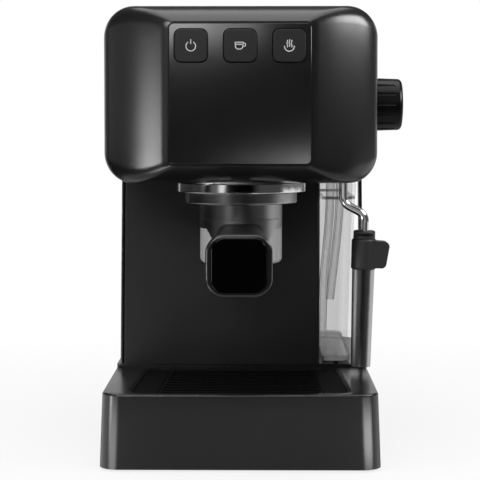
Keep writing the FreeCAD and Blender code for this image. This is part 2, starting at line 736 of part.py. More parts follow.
def drip_grid():
    corners = well_corners(-SLIDE_GAP)
    plate = slab(corners, Z_LEDGE, Z_LEDGE + GRID_THICK)
    y_mid = (corners[0][1] + corners[2][1]) / 2
    pitch = SLOT_DEPTH_SPAN / (SLOT_COUNT - 1)
    slots = []
    for i in range(SLOT_COUNT):
        y = y_mid - SLOT_DEPTH_SPAN / 2 + i * pitch
        half = (SLOT_FRONT_WIDTH + (SLOT_BACK_WIDTH - SLOT_FRONT_WIDTH) * i / (SLOT_COUNT - 1)) / 2
        slots.append(slab(rectangle(-half, half, y - SLOT_WIDTH / 2, y + SLOT_WIDTH / 2, SLOT_END),
                          Z_LEDGE - FIT, Z_LEDGE + GRID_THICK + FIT))
    ribs = []
    span = SLOT_DEPTH_SPAN / 2 + SLOT_WIDTH / 2
    for x in GRID_RIB_SIDES:
        ribs.append(box(x - GRID_RIB_WIDTH / 2, x + GRID_RIB_WIDTH / 2, y_mid - span, y_mid + span,
                        Z_LEDGE - GRID_RIB_DEPTH, Z_LEDGE + GRID_THICK / 2))
    ridges = []
    for side in (-1, 1):
        front = side * (SLOT_FRONT_WIDTH / 2 + RIDGE_OUT)
        back = side * (SLOT_BACK_WIDTH / 2 + RIDGE_OUT)
        half = RIDGE_WIDTH / 2
        ridges.append(slab([(front - half, y_mid - span, 0), (front + half, y_mid - span, 0),
                            (back + half, y_mid + span, 0), (back - half, y_mid + span, 0)],
                           Z_LEDGE + GRID_THICK / 2, Z_LEDGE + GRID_THICK + RIDGE_HEIGHT))
    return join(cut(plate, *slots), *ribs, *ridges)


def head_corners(half_width, half_height, radius):
    """Outline of the head as (x, z)."""
    return rectangle(-half_width, half_width, Z_HEAD_MID - half_height, Z_HEAD_MID + half_height, radius)


def head_prism(inset, y0, y1):
    """Full section of the head between two depths."""
    return slab_y(head_corners(HEAD_WIDTH / 2 - inset, HEAD_HEIGHT / 2 - inset, HEAD_CORNER - inset), y0, y1)


def nose(inset, y_start):
    """Swelling bezel from the panel to the full section, shrunk by an inset."""
    rim = NOSE_LIP + FIT
    wires = []
    for i in range(NOSE_STATIONS + 1):
        share = i / NOSE_STATIONS
        side = 1 - (1 - share) ** NOSE_SIDE_POWER
        rise = 1 - (1 - share) ** NOSE_HEIGHT_POWER
        half_width = PANEL_WIDTH / 2 + rim + (HEAD_WIDTH / 2 - PANEL_WIDTH / 2 - rim) * side - inset
        half_height = PANEL_HEIGHT / 2 + rim + (HEAD_HEIGHT / 2 - PANEL_HEIGHT / 2 - rim) * rise - inset
        radius = PANEL_CORNER + rim + (HEAD_CORNER - PANEL_CORNER - rim) * share - inset
        y = y_start + (Y_NOSE_END - y_start) * share
        wires.append(outline(head_corners(half_width, half_height, radius), across_y(y)))
    return loft(wires, False)


def cup_tray_corners(grow):
    """Plan of the cup tray in the top of the head."""
    half = CUP_TRAY_WIDTH / 2 + grow
    return rectangle(-half, half, Y_FRONT + CUP_TRAY_FRONT - grow, Y_BACK - CUP_TRAY_REAR + grow,
                     CUP_TRAY_CORNER + grow)


def panel_corners(grow):
    """Outline of the front panel as (x, z)."""
    return head_corners(PANEL_WIDTH / 2 + grow, PANEL_HEIGHT / 2 + grow, PANEL_CORNER + grow)


def hose_tops():
    """Plan centres of the two hoses at the head."""
    return [SUCTION_TOP, RETURN_TOP]


def head_shell():
    outer = join(nose(0, Y_NOSE), head_prism(0, Y_NOSE_END, Y_SHELL_BACK))
    y_inner = Y_NOSE + PANEL_SINK + NOSE_LEDGE
    room = nose(WALL, y_inner)
    rear_room = head_prism(WALL, Y_NOSE_END, Y_BACK)
    seat = slab_y(panel_corners(FIT), Y_NOSE - WALL, Y_NOSE + PANEL_SINK)
    window = slab_y(panel_corners(-PANEL_SEAT), Y_NOSE, Y_NOSE_END)
    axle = rod(SPINDLE_RADIUS + SLIDE_GAP, vec(0, Y_KNOB, Z_KNOB), RIGHT, HEAD_WIDTH)
    group = rod(GROUP_RADIUS + FIT, vec(0, Y_GROUP, Z_GROUP), UP, RING_HEIGHT + BOILER_HEIGHT)
    wand = rod(WAND_RADIUS + SLIDE_GAP, vec(WAND_SIDE, Y_KNOB, Z_GROUP), UP, RING_HEIGHT + 2 * HEAD_CORNER)
    barbs = [rod(BARB_RADIUS + FIT, vec(x, y, Z_GROUP), UP, RING_HEIGHT + HEAD_CORNER)
             for x, y in hose_tops()]
    y_port = Y_COLUMN + SHAFT_PORT_INSET
    port = slab(rectangle(SHAFT_PORT_SIDE - SHAFT_PORT_WIDTH / 2, SHAFT_PORT_SIDE + SHAFT_PORT_WIDTH / 2,
                          y_port, y_port + SHAFT_PORT_DEPTH, BOSS_RADIUS), Z_GROUP, Z_FLOOR + WALL)
    tray_seat = slab(cup_tray_corners(FIT), Z_TOP - CUP_TRAY_SINK, Z_TOP + WALL)
    tray_port = slab(cup_tray_corners(-CUP_TRAY_SEAT), Z_TOP - 2 * WALL, Z_TOP + WALL)
    return cut(outer, room, rear_room, seat, window, axle, group, wand, *barbs, port, tray_seat, tray_port)


def head_back_cover():
    y0 = Y_SHELL_BACK
    cap = head_prism(0, y0, Y_BACK)
    cap = rounded_edges(cap, BACK_COVER_EDGE, lies_at_y(Y_BACK))
    spigot = head_prism(WALL + FIT, y0 - SPIGOT_DEPTH, y0 + WALL)
    room = head_prism(WALL + FIT + SPIGOT_WALL, y0 - 2 * SPIGOT_DEPTH, Y_BACK - WALL)
    vents = []
    z0 = Z_HEAD + VENT_RISE - VENT_HEIGHT / 2
    for i in range(VENT_COUNT):
        x = (i - (VENT_COUNT - 1) / 2) * VENT_PITCH
        vents.append(slab_y(rectangle(x - VENT_WIDTH / 2, x + VENT_WIDTH / 2, z0, z0 + VENT_HEIGHT,
                                      VENT_WIDTH / 3), Y_BACK - 2 * WALL, Y_BACK + WALL))
    return cut(join(cap, spigot), room, *vents)


def cup_tray():
    plate = slab(cup_tray_corners(0), Z_TOP - CUP_TRAY_SINK, Z_TOP)
    ribs = []
    y0 = Y_FRONT + CUP_TRAY_FRONT + CUP_RIB_INSET
    y1 = Y_BACK - CUP_TRAY_REAR - CUP_RIB_INSET
    for i in range(CUP_RIB_COUNT):
        x = (i - (CUP_RIB_COUNT - 1) / 2) * CUP_RIB_PITCH
        ribs.append(slab(rectangle(x - CUP_RIB_WIDTH / 2, x + CUP_RIB_WIDTH / 2, y0, y1, CUP_RIB_WIDTH / 3),
                         Z_TOP - CUP_TRAY_SINK / 2, Z_TOP + CUP_RIB_HEIGHT))
    return join(plate, *ribs)


def button_corners(x, grow):
    """Outline of one button as (x, z)."""
    half = BUTTON_SIZE / 2 + grow
    return rectangle(x - half, x + half, Z_BUTTON - half, Z_BUTTON + half, BUTTON_CORNER + grow)


def button_sides():
    """Side places of the three buttons, left to right."""
    return [-BUTTON_PITCH, 0.0, BUTTON_PITCH]


def post_places():
    """Places of the board posts behind the panel as (x, z)."""
    return [(side * BOARD_POST_SIDE, Z_BUTTON - BOARD_POST_DROP) for side in (-1, 1)]


def front_panel():
    y0 = Y_NOSE - PANEL_PROUD
    plate = rounded_edges(slab_y(panel_corners(0), y0, Y_NOSE + PANEL_SINK), PANEL_EDGE, lies_at_y(y0))
    y_back = Y_NOSE + PANEL_SINK
    posts = [rod(BOARD_POST, vec(x, y_back, z), BACK, Y_BOARD - y_back) for x, z in post_places()]
    holes = [slab_y(button_corners(x, BUTTON_GAP), y0 - WALL, y_back + WALL) for x in button_sides()]
    return cut(join(plate, *posts), *holes)


def button(x):
    y0 = Y_NOSE - PANEL_PROUD - BUTTON_PROUD
    cap = rounded_edges(slab_y(button_corners(x, 0), y0, y0 + BUTTON_CAP), BUTTON_EDGE, lies_at_y(y0))
    y_flange = Y_NOSE + PANEL_SINK + FIT
    flange = slab_y(button_corners(x, BUTTON_FLANGE), y_flange, y_flange + BUTTON_FLANGE_THICK)
    y_stem = Y_BOARD - SWITCH_HEIGHT - SWITCH_PLUNGER_HEIGHT - BUTTON_TRAVEL - FIT
    stem = rod(BUTTON_STEM, vec(x, y_flange, Z_BUTTON), BACK, y_stem - y_flange)
    return join(cap, flange, stem)


def control_board():
    z1 = Z_BUTTON + SWITCH_SIZE
    z0 = z1 - BOARD_HEIGHT - SWITCH_SIZE
    return slab_y(rectangle(-BOARD_WIDTH / 2, BOARD_WIDTH / 2, z0, z1, BOARD_POST / 2),
                  Y_BOARD, Y_BOARD + BOARD_THICK)


def button_switches():
    solids = []
    half = SWITCH_SIZE / 2
    for x in button_sides():
        y0 = Y_BOARD - SWITCH_HEIGHT
        body = box(x - half, x + half, y0, Y_BOARD, Z_BUTTON - half, Z_BUTTON + half)
        tip = vec(x, y0 - SWITCH_PLUNGER_HEIGHT, Z_BUTTON)
        plunger = rod(SWITCH_PLUNGER, tip, BACK, SWITCH_PLUNGER_HEIGHT)
        solids.append(join(body, plunger))
    return Part.makeCompound(solids)


def lean_at(z):
    """How far the side panels have leaned in at height z."""
    return COLUMN_LEAN * (z - Z_DECK) / COLUMN_HEIGHT


def under_head(shape):
    """Trims a piece of the column to the rounded underside of the head."""
    return cut(shape, head_prism(-SEAT_GAP, Y_NOSE_END, Y_BACK + WALL))


def side_panel(side, y_end):
    wires = []
    for z in (Z_DECK, Z_HEAD + HEAD_CORNER):
        outer = COLUMN_WIDTH / 2 - lean_at(z)
        edges = sorted((side * outer, side * (outer - SIDE_SKIN)))
        wires.append(outline(rectangle(*edges, Y_COLUMN, y_end, SIDE_EDGE), on_level(z)))
    return under_head(loft(wires, True))


def column_left(z):
    """Left edge of the panels inside the column at height z."""
    return -(COLUMN_WIDTH / 2 - lean_at(z) - SIDE_SKIN - FIT)


def column_front():
    wires = []
    for z in (Z_DECK, Z_HEAD + HEAD_CORNER):
        left = column_left(z)
        wires.append(outline([
            (left, Y_COLUMN, SIDE_EDGE),
            (COLUMN_RIGHT, Y_COLUMN, COLUMN_EDGE),
            (COLUMN_RIGHT, Y_PARTITION, 0),
            (COLUMN_RIGHT - COLUMN_SKIN, Y_PARTITION, 0),
            (COLUMN_RIGHT - COLUMN_SKIN, Y_COLUMN + COLUMN_SKIN, COLUMN_BEND),
            (left, Y_COLUMN + COLUMN_SKIN, SIDE_EDGE)], on_level(z)))
    return under_head(loft(wires, True))


def column_back():
    wires = []
    for z in (Z_DECK, Z_HEAD + HEAD_CORNER):
        wires.append(outline(rectangle(column_left(z), COLUMN_RIGHT, Y_PARTITION, Y_PARTITION + COLUMN_SKIN,
                                       SIDE_EDGE), on_level(z)))
    return under_head(loft(wires, True))


def tank_outline(z, grow):
    """L-shaped plan of the tank at height z: a wide block behind the column and a lobe beside it."""
    share = (Z_TANK_TOP - z) / (Z_TANK_TOP - Z_TANK)
    outer = TANK_DRAFT * share - grow
    inner = TANK_INNER_DRAFT * share - grow
    side = COLUMN_WIDTH / 2 - COLUMN_LEAN - SIDE_SKIN - TANK_GAP - outer
    lobe = COLUMN_RIGHT + TANK_GAP + inner
    front = Y_COLUMN + TANK_GAP + inner
    step = Y_PARTITION + COLUMN_SKIN + TANK_GAP + inner
    rear = Y_BACK - TANK_GAP - outer
    corner = TANK_CORNER + grow
    small = TANK_INNER_CORNER + grow
    hollow = TANK_BEND - grow
    return outline([(-side, step, small), (lobe, step, hollow), (lobe, front, small), (side, front, corner),
                    (side, rear, corner), (-side, rear, corner)], on_level(z))


def water_tank():
    z_step = Z_TANK_TOP - TANK_COLLAR
    body = loft([tank_outline(Z_TANK, 0), tank_outline(z_step, 0)], True)
    collar = loft([tank_outline(z_step, TANK_COLLAR_STEP), tank_outline(Z_TANK_TOP, TANK_COLLAR_STEP)], True)
    room = loft([tank_outline(z + TANK_FLOOR, -TANK_WALL) for z in (Z_TANK, Z_TANK_TOP)], True)
    notch = slab_y(rectangle(-NOTCH_WIDTH / 2, NOTCH_WIDTH / 2, Z_TANK_TOP - NOTCH_DEPTH,
                             Z_TANK_TOP + NOTCH_DEPTH, NOTCH_CORNER),
                   Y_BACK - TANK_GAP - TANK_CORNER / 2, Y_BACK)
    return cut(join(body, collar), room, notch)


def hose_route(top, steps):
    """Points of a hose from the head down, each a step from the last."""
    points = [vec(*top, Z_HEAD)]
    for step in steps:
        points.append(points[-1] + vec(*step))
    return points


def hose_barbs():
    solids = []
    bore = BARB_RADIUS / 2
    tip = LINE_BORE - SEAT_GAP
    top = WALL + BARB_COLLAR_THICK
    for x, y in hose_tops():
        stem = turned([(bore, -BARB_DROP, 0), (BARB_RADIUS, -BARB_DROP, 0), (BARB_RADIUS, top, 0),
                       (tip, top, 0), (tip, top + BARB_RISE, 0), (bore, top + BARB_RISE, 0)],
                      vec(x, y, Z_HEAD))
        collar = turned([(BARB_RADIUS, 0, 0), (BARB_COLLAR, 0, 0), (BARB_COLLAR, top, 0),
                         (BARB_RADIUS, top, 0)], vec(x, y, Z_HEAD))
        solids.append(join(stem, collar.common(head_prism(WALL + SEAT_GAP, Y_NOSE_END, Y_BACK))))
    return Part.makeCompound(solids)


def pump_heights():
    """Heights of the pump from its lower spigot up: neck, shoulder, coil and back to the upper spigot."""
    steps = [PUMP_SPIGOT_LENGTH, PUMP_NECK, PUMP_SHOULDER, PUMP_COIL_HEIGHT, PUMP_SHOULDER, PUMP_NECK,
             PUMP_SPIGOT_LENGTH]
    heights = [Z_PUMP]
    for step in steps:
        heights.append(heights[-1] + step)
    return heights


def pump_body():
    z = pump_heights()
    wide = PUMP_BORE_BODY
    profile = [(LINE_BORE, z[0], 0), (PUMP_SPIGOT, z[0], 0), (PUMP_SPIGOT, z[1], 0),
               (PUMP_END, z[1], 0), (PUMP_END, z[2], 0), (wide, z[2], 0), (wide, z[5], 0),
               (PUMP_END, z[5], 0), (PUMP_END, z[6], 0), (PUMP_SPIGOT, z[6], 0),
               (PUMP_SPIGOT, z[7], 0), (LINE_BORE, z[7], 0)]
    return turned(profile, vec(PUMP_SIDE, Y_PUMP, 0))


def pump_coil():
    z = pump_heights()
    half = PUMP_COIL_WIDTH / 2
    block = slab(rectangle(PUMP_SIDE - half, PUMP_SIDE + half, Y_PUMP - half, Y_PUMP + half,
                           PUMP_COIL_CORNER), z[3], z[4])
    return cut(block, rod(PUMP_BORE_BODY + SEAT_GAP, vec(PUMP_SIDE, Y_PUMP, z[3]), UP, PUMP_COIL_HEIGHT))


def bracket_levels():
    """Middle heights of the two bracket arms, at the necks of the pump."""
    z = pump_heights()
    return [(z[1] + z[2]) / 2, (z[5] + z[6]) / 2]


def pump_bracket():
    low, high = bracket_levels()
    half = BRACKET_WIDTH / 2
    skin = BRACKET_SKIN / 2
    spine = box(PUMP_SIDE - half, PUMP_SIDE + half, Y_PARTITION - BRACKET_SKIN, Y_PARTITION,
                low - skin, high + skin)
    arms = [slab(rectangle(PUMP_SIDE - half, PUMP_SIDE + half, Y_PUMP - half, Y_PARTITION, BRACKET_SKIN),
                 z - skin, z + skin) for z in (low, high)]
    hole = rod(MOUNT_RADIUS - MOUNT_LIP, vec(PUMP_SIDE, Y_PUMP, Z_PUMP), UP, high - Z_PUMP + MOUNT_RADIUS)
    return cut(join(spine, *arms), hole)


def pump_mounts():
    solids = []
    groove = MOUNT_RADIUS - MOUNT_LIP - SEAT_GAP
    bore = PUMP_END + SEAT_GAP
    half = BRACKET_SKIN / 2 + SEAT_GAP
    for z in bracket_levels():
        end = half + MOUNT_LIP
        profile = [(bore, -end, 0), (MOUNT_RADIUS, -end, 0), (MOUNT_RADIUS, -half, 0), (groove, -half, 0),
                   (groove, half, 0), (MOUNT_RADIUS, half, 0), (MOUNT_RADIUS, end, 0), (bore, end, 0)]
        solids.append(turned(profile, vec(PUMP_SIDE, Y_PUMP, z)))
    return Part.makeCompound(solids)


def suction_line():
    x, y = SUCTION_TOP
    z0 = Z_FLOOR + BARB_COLLAR_THICK + SEAT_GAP
    z1 = Z_FLOOR + SUCTION_RISE
    points = [vec(x, y, z0), vec(x, y, z1), vec(x, Y_PUMP, z1), vec(PUMP_SIDE, Y_PUMP, z1),
              vec(PUMP_SIDE, Y_PUMP, pump_heights()[-1])]
    return pipe(points, LINE_RADIUS, LINE_BORE, LINE_BEND)


def return_line():
    x, y = RETURN_TOP
    z0 = Z_FLOOR + BARB_COLLAR_THICK + SEAT_GAP
    z1 = Z_FLOOR + RETURN_RISE
    y1 = Y_GROUP + RELIEF_FRONT
    points = [vec(x, y, z0), vec(x, y, z1), vec(x, y1, z1), vec(RELIEF_RADIUS, y1, z1)]
    return pipe(points, LINE_RADIUS, LINE_BORE, LINE_BEND)


def feed_line():
    z0 = Z_PUMP - LINE_DIP
    z1 = Z_HEAD + FEED_RISE
    points = [vec(PUMP_SIDE, Y_PUMP, Z_PUMP), vec(PUMP_SIDE, Y_PUMP, z0), vec(FEED_SIDE, Y_PUMP, z0),
              vec(FEED_SIDE, Y_PUMP, z1), vec(FEED_SIDE, Y_GROUP, z1), vec(-BOILER_RADIUS, Y_GROUP, z1)]
    line = pipe(points, LINE_RADIUS, LINE_BORE, LINE_BEND)
    return cut(line, rod(BOILER_RADIUS + SEAT_GAP, vec(0, Y_GROUP, Z_BOILER), UP, BOILER_HEIGHT))


def head_frame():
    half = FRAME_WIDTH / 2
    plate = slab(rectangle(-half, half, Y_NOSE_END + FIT, Y_GROUP + FRAME_REAR, FRAME_CORNER),
                 Z_FLOOR, Z_FRAME)
    return cut(plate, rod(GROUP_RADIUS + FIT, vec(0, Y_GROUP, Z_HEAD), UP, HEAD_HEIGHT),
               rod(SWIVEL_RADIUS + FIT, vec(WAND_SIDE, Y_KNOB, Z_HEAD), UP, HEAD_HEIGHT))


def bolt_places():
    """Plan centres of the boiler bolts."""
    places = []
    for angle in BOLT_ANGLES:
        turn = math.radians(angle)
        places.append((BOLT_CIRCLE * math.cos(turn), Y_GROUP + BOLT_CIRCLE * math.sin(turn)))
    return places


def ear_corners():
    """Plan of the ears by which casting and boiler are bolted together."""
    half = EAR_WIDTH / 2
    return rectangle(-half, half, Y_GROUP - EAR_FRONT, Y_GROUP + EAR_BACK, EAR_CORNER)


def group_head():
    groove = LUG_GROOVE_RADIUS
    profile = [(CHANNEL_RADIUS, Z_BOILER, 0), (CHANNEL_RADIUS, Z_CEILING, 0), (SHELF_RADIUS, Z_CEILING, 0),
               (SHELF_RADIUS, Z_GASKET, 0), (groove, Z_GASKET, 0), (groove, Z_GROOVE, 0),
               (SHELF_RADIUS, Z_GROOVE, 0), (SHELF_RADIUS, Z_GROUP, 0), (GROUP_RADIUS, Z_GROUP, 0),
               (GROUP_RADIUS, Z_BOILER, 0)]
    casting = turned(profile, vec(0, Y_GROUP, 0))
    ears = cut(slab(ear_corners(), Z_FRAME, Z_BOILER),
               rod(GROUP_RADIUS - FIT, vec(0, Y_GROUP, Z_HEAD), UP, HEAD_HEIGHT))
    holes = [rod(BOLT_RADIUS + SEAT_GAP, vec(x, y, Z_HEAD), UP, HEAD_HEIGHT) for x, y in bolt_places()]
    gates = [ring_sector(NECK_RADIUS, LUG_GROOVE_RADIUS, Z_GROUP, Z_GROOVE, GATE_ANGLE + turn, GATE_WIDTH)
             for turn in (0, 180)]
    return cut(join(casting, ears), *holes, *gates)


def group_ring():
    inner = GROUP_RADIUS + SEAT_GAP
    return turned([(inner, Z_GROUP, 0), (RING_RADIUS, Z_GROUP, RING_EDGE), (RING_RADIUS, Z_HEAD, RING_EDGE),
                   (inner, Z_HEAD, 0)], vec(0, Y_GROUP, 0))


def group_gasket():
    outer = SHELF_RADIUS - SEAT_GAP
    z1 = Z_CEILING
    z0 = z1 - GASKET_HEIGHT
    return turned([(GASKET_INNER, z0, 0), (outer, z0, 0), (outer, z1, 0), (GASKET_INNER, z1, 0)],
                  vec(0, Y_GROUP, 0))


def shower_screen():
    z1 = Z_CEILING
    disc = rod(SCREEN_RADIUS, vec(0, Y_GROUP, z1 - SCREEN_THICK), UP, SCREEN_THICK)
    holes = [rod(SCREW_RADIUS + SEAT_GAP, vec(0, Y_GROUP, z1 - SCREEN_THICK), UP, SCREEN_THICK)]
    for radius, count in SCREEN_RINGS:
        for i in range(count):
            turn = 2 * math.pi * i / count
            centre = vec(radius * math.cos(turn), Y_GROUP + radius * math.sin(turn), z1 - SCREEN_THICK)
            holes.append(rod(SCREEN_HOLE, centre, UP, SCREEN_THICK))
    return cut(disc, *holes)


def shower_screw():
    z0 = Z_CEILING - SCREEN_THICK
    foot = z0 - SCREEN_SCREW_THICK
    profile = [(0, foot, 0), (SCREEN_SCREW_HEAD, foot, SCREEN_SCREW_THICK / 2),
               (SCREEN_SCREW_HEAD, z0, 0), (SCREW_RADIUS, z0, 0), (SCREW_RADIUS, Z_BOILER - FIT, 0),
               (0, Z_BOILER - FIT, 0)]
    return turned(profile, vec(0, Y_GROUP, 0))


def boiler():
    z1 = Z_BOILER + BOILER_HEIGHT
    z_flange = Z_BOILER + BOILER_FLANGE_THICK
    profile = [(0, Z_BOILER, 0), (BOILER_FLANGE, Z_BOILER, 0), (BOILER_FLANGE, z_flange, 0),
               (BOILER_RADIUS, z_flange, FIT), (BOILER_RADIUS, z1, BOILER_DOME), (0, z1, 0)]
    body = turned(profile, vec(0, Y_GROUP, 0)).common(slab(ear_corners(), Z_BOILER, z1))
    holes = [rod(BOLT_RADIUS + SEAT_GAP, vec(x, y, Z_BOILER), UP, BOILER_FLANGE_THICK)
             for x, y in bolt_places()]
    return cut(body, *holes)


def boiler_bolts():
    solids = []
    z1 = Z_BOILER + BOILER_FLANGE_THICK
    turns = [2 * math.pi * i / BOLT_HEAD_SIDES for i in range(BOLT_HEAD_SIDES + 1)]
    for x, y in bolt_places():
        wire = Part.makePolygon([vec(x + BOLT_HEAD * math.cos(turn), y + BOLT_HEAD * math.sin(turn), z1)
                                 for turn in turns])
        head = Part.Face(wire).extrude(UP * BOLT_HEAD_HEIGHT)
        shank = rod(BOLT_RADIUS, vec(x, y, Z_FRAME + FIT), UP, z1 - Z_FRAME)
        solids.append(join(head, shank))
    return Part.makeCompound(solids)


def boiler_terminals():
    z0 = Z_BOILER + BOILER_HEIGHT
    places = [vec(side * TERMINAL_SIDE, Y_GROUP, z0) for side in (-1, 1)]
    return Part.makeCompound([rod(TERMINAL_RADIUS, foot, UP, TERMINAL_HEIGHT) for foot in places])


def thermostats():
    z0 = Z_BOILER + BOILER_HEIGHT
    reach = THERMOSTAT_RADIUS + FIT
    places = [vec(side * reach, Y_GROUP + THERMOSTAT_BACK, z0) for side in (-1, 1)]
    return Part.makeCompound([rod(THERMOSTAT_RADIUS, foot, UP, THERMOSTAT_HEIGHT) for foot in places])


def relief_valve():
    z0 = Z_BOILER + BOILER_HEIGHT
    z_line = Z_FLOOR + RETURN_RISE
    z1 = max(z0 + RELIEF_HEIGHT, z_line + LINE_RADIUS + SEAT_GAP)
    body = rod(RELIEF_RADIUS, vec(0, Y_GROUP + RELIEF_FRONT, z0), UP, z1 - z0)
    return rounded_edges(body, RELIEF_EDGE, lies_at_z(z1))


def valve_span():
    """Left and right ends of the steam valve's body."""
    right = HEAD_WIDTH / 2 - VALVE_INSET
    return right - VALVE_LENGTH, right


def steam_valve():
    left, right = valve_span()
    axis = vec(0, Y_KNOB, Z_KNOB)
    body = rod(VALVE_RADIUS, axis + RIGHT * left, RIGHT, VALVE_LENGTH)
    neck = rod(VALVE_NECK, axis + RIGHT * (left - VALVE_NECK_LENGTH), RIGHT, VALVE_NECK_LENGTH)
    drop = VALVE_RADIUS + VALVE_FOOT_LENGTH
    foot = rod(VALVE_FOOT, vec(WAND_SIDE, Y_KNOB, Z_KNOB - drop), UP, drop)
    spindle = rod(SPINDLE_RADIUS + RUNNING_GAP, axis + RIGHT * (right - SPINDLE_REACH), RIGHT, SPINDLE_REACH)
    x_needle = right - SPINDLE_REACH + NEEDLE_ENTRY - NEEDLE_LENGTH
    needle = rod(NEEDLE_RADIUS + RUNNING_GAP, axis + RIGHT * (x_needle - NEEDLE_TIP), RIGHT,
                 right - x_needle)
    seat = rod(VALVE_SEAT, axis + RIGHT * (left - VALVE_NECK_LENGTH), RIGHT, VALVE_LENGTH)
    drain = rod(VALVE_SEAT, vec(WAND_SIDE, Y_KNOB, Z_KNOB - drop), UP, drop)
    return cut(join(body, neck, foot), spindle, needle, seat, drain)


def valve_bracket():
    left = valve_span()[0]
    half = VALVE_BRACKET_WIDTH / 2
    post = slab(rectangle(left - VALVE_BRACKET_SKIN, left, Y_KNOB - half, Y_KNOB + half, 0),
                Z_FRAME, Z_KNOB + VALVE_RADIUS)
    foot = box(left - VALVE_BRACKET_FOOT, left, Y_KNOB - half, Y_KNOB + half,
               Z_FRAME, Z_FRAME + VALVE_BRACKET_SKIN)
    hole = rod(VALVE_NECK + SEAT_GAP, vec(left - VALVE_NECK_LENGTH, Y_KNOB, Z_KNOB), RIGHT, VALVE_NECK_LENGTH)
    return cut(join(post, foot), hole)


def knob_span():
    """Inner and outer ends of the steam knob."""
    inner = HEAD_WIDTH / 2 + KNOB_GAP
    return inner, inner + KNOB_LENGTH


def valve_spindle():
    start = valve_span()[1] - SPINDLE_REACH
    length = knob_span()[1] - SPINDLE_STOP - start
    bore = NEEDLE_RADIUS + RUNNING_GAP
    profile = [(0, SPINDLE_BORE_DEPTH, 0), (bore, SPINDLE_BORE_DEPTH, 0), (bore, 0, 0),
               (SPINDLE_RADIUS, 0, 0), (SPINDLE_RADIUS, length, 0), (0, length, 0)]
    return turned(profile, vec(start, Y_KNOB, Z_KNOB), RIGHT)


def valve_needle():
    end = valve_span()[1] - SPINDLE_REACH + NEEDLE_ENTRY
    profile = [(0, 0, 0), (NEEDLE_RADIUS, NEEDLE_TIP, 0), (NEEDLE_RADIUS, NEEDLE_LENGTH, 0),
               (0, NEEDLE_LENGTH, 0)]
    return turned(profile, vec(end - NEEDLE_LENGTH, Y_KNOB, Z_KNOB), RIGHT)


def steam_knob():
    inner = knob_span()[0]
    hub = SPINDLE_RADIUS + SEAT_GAP
    end = KNOB_LENGTH - SPINDLE_STOP
    hollow = KNOB_RADIUS - KNOB_SKIN - KNOB_GROOVE_RADIUS
    profile = [(hub, 0, 0), (KNOB_HUB, 0, 0), (KNOB_HUB, end - KNOB_SKIN, 0), (hollow, end - KNOB_SKIN, 0),
               (hollow, 0, 0), (KNOB_RADIUS, 0, KNOB_GROOVE_OUT),
               (KNOB_RADIUS - KNOB_TAPER, KNOB_LENGTH, KNOB_EDGE), (0, KNOB_LENGTH, 0), (0, end, 0),
               (hub, end, 0)]
    knob = turned(profile, vec(inner, Y_KNOB, Z_KNOB), RIGHT)
    grooves = []
    for i in range(KNOB_GROOVES):
        turn = 2 * math.pi * i / KNOB_GROOVES
        reach = KNOB_RADIUS + KNOB_GROOVE_OUT
        centre = vec(inner, Y_KNOB + reach * math.cos(turn), Z_KNOB + reach * math.sin(turn))
        grooves.append(rod(KNOB_GROOVE_RADIUS, centre, RIGHT, KNOB_LENGTH - KNOB_GROOVE_STOP))
    return cut(knob, *grooves)


def steam_tube():
    start = BOILER_RADIUS / 2
    end = valve_span()[0] - VALVE_NECK_LENGTH
    tube = rod(LINE_RADIUS, vec(start, Y_KNOB, Z_KNOB), RIGHT, end - start)
    bore = rod(LINE_BORE, vec(start, Y_KNOB, Z_KNOB), RIGHT, end - start)
    tank = rod(BOILER_RADIUS + SEAT_GAP, vec(0, Y_GROUP, Z_BOILER), UP, BOILER_HEIGHT)
    return cut(tube, bore, tank)


def swivel_top():
    """Height of the wand swivel's upper face."""
    return Z_HEAD + SWIVEL_HEIGHT


def wand_feed():
    z0 = swivel_top()
    z1 = Z_KNOB - VALVE_RADIUS - VALVE_FOOT_LENGTH
    profile = [(LINE_BORE, z0, 0), (LINE_RADIUS, z0, 0), (LINE_RADIUS, z1, 0), (LINE_BORE, z1, 0)]
    return turned(profile, vec(WAND_SIDE, Y_KNOB, 0))


def wand_swivel():
    top = swivel_top()
    body = rod(SWIVEL_RADIUS, vec(WAND_SIDE, Y_KNOB, Z_HEAD), UP, SWIVEL_HEIGHT)
    body = body.common(head_prism(WALL + SEAT_GAP, Y_NOSE_END, Y_SHELL_BACK))
    bore = rod(WAND_RADIUS + RUNNING_GAP, vec(WAND_SIDE, Y_KNOB, Z_HEAD), UP, SWIVEL_GRIP)
    channel = rod(VALVE_SEAT, vec(WAND_SIDE, Y_KNOB, Z_HEAD), UP, top - Z_HEAD)
    return cut(body, bore, channel)


def leaned(shape):
    """Leans a piece of the lower wand about the second bend."""
    shape.rotate(vec(X_WAND, Y_KNOB, Z_WAND_BEND), BACK, WAND_LEAN)
    return shape


def steam_pipe():
    drop = Z_WAND_BEND - WAND_END
    lean = math.radians(WAND_LEAN)
    end = vec(X_WAND - drop * math.sin(lean), Y_KNOB, Z_WAND_BEND - drop * math.cos(lean))
    points = [vec(WAND_SIDE, Y_KNOB, Z_HEAD + SWIVEL_GRIP - FIT),
              vec(WAND_SIDE, Y_KNOB, Z_HEAD - WAND_UPPER_DROP), vec(X_WAND, Y_KNOB, Z_WAND_BEND), end]
    return pipe(points, WAND_RADIUS, VALVE_SEAT, WAND_BEND)


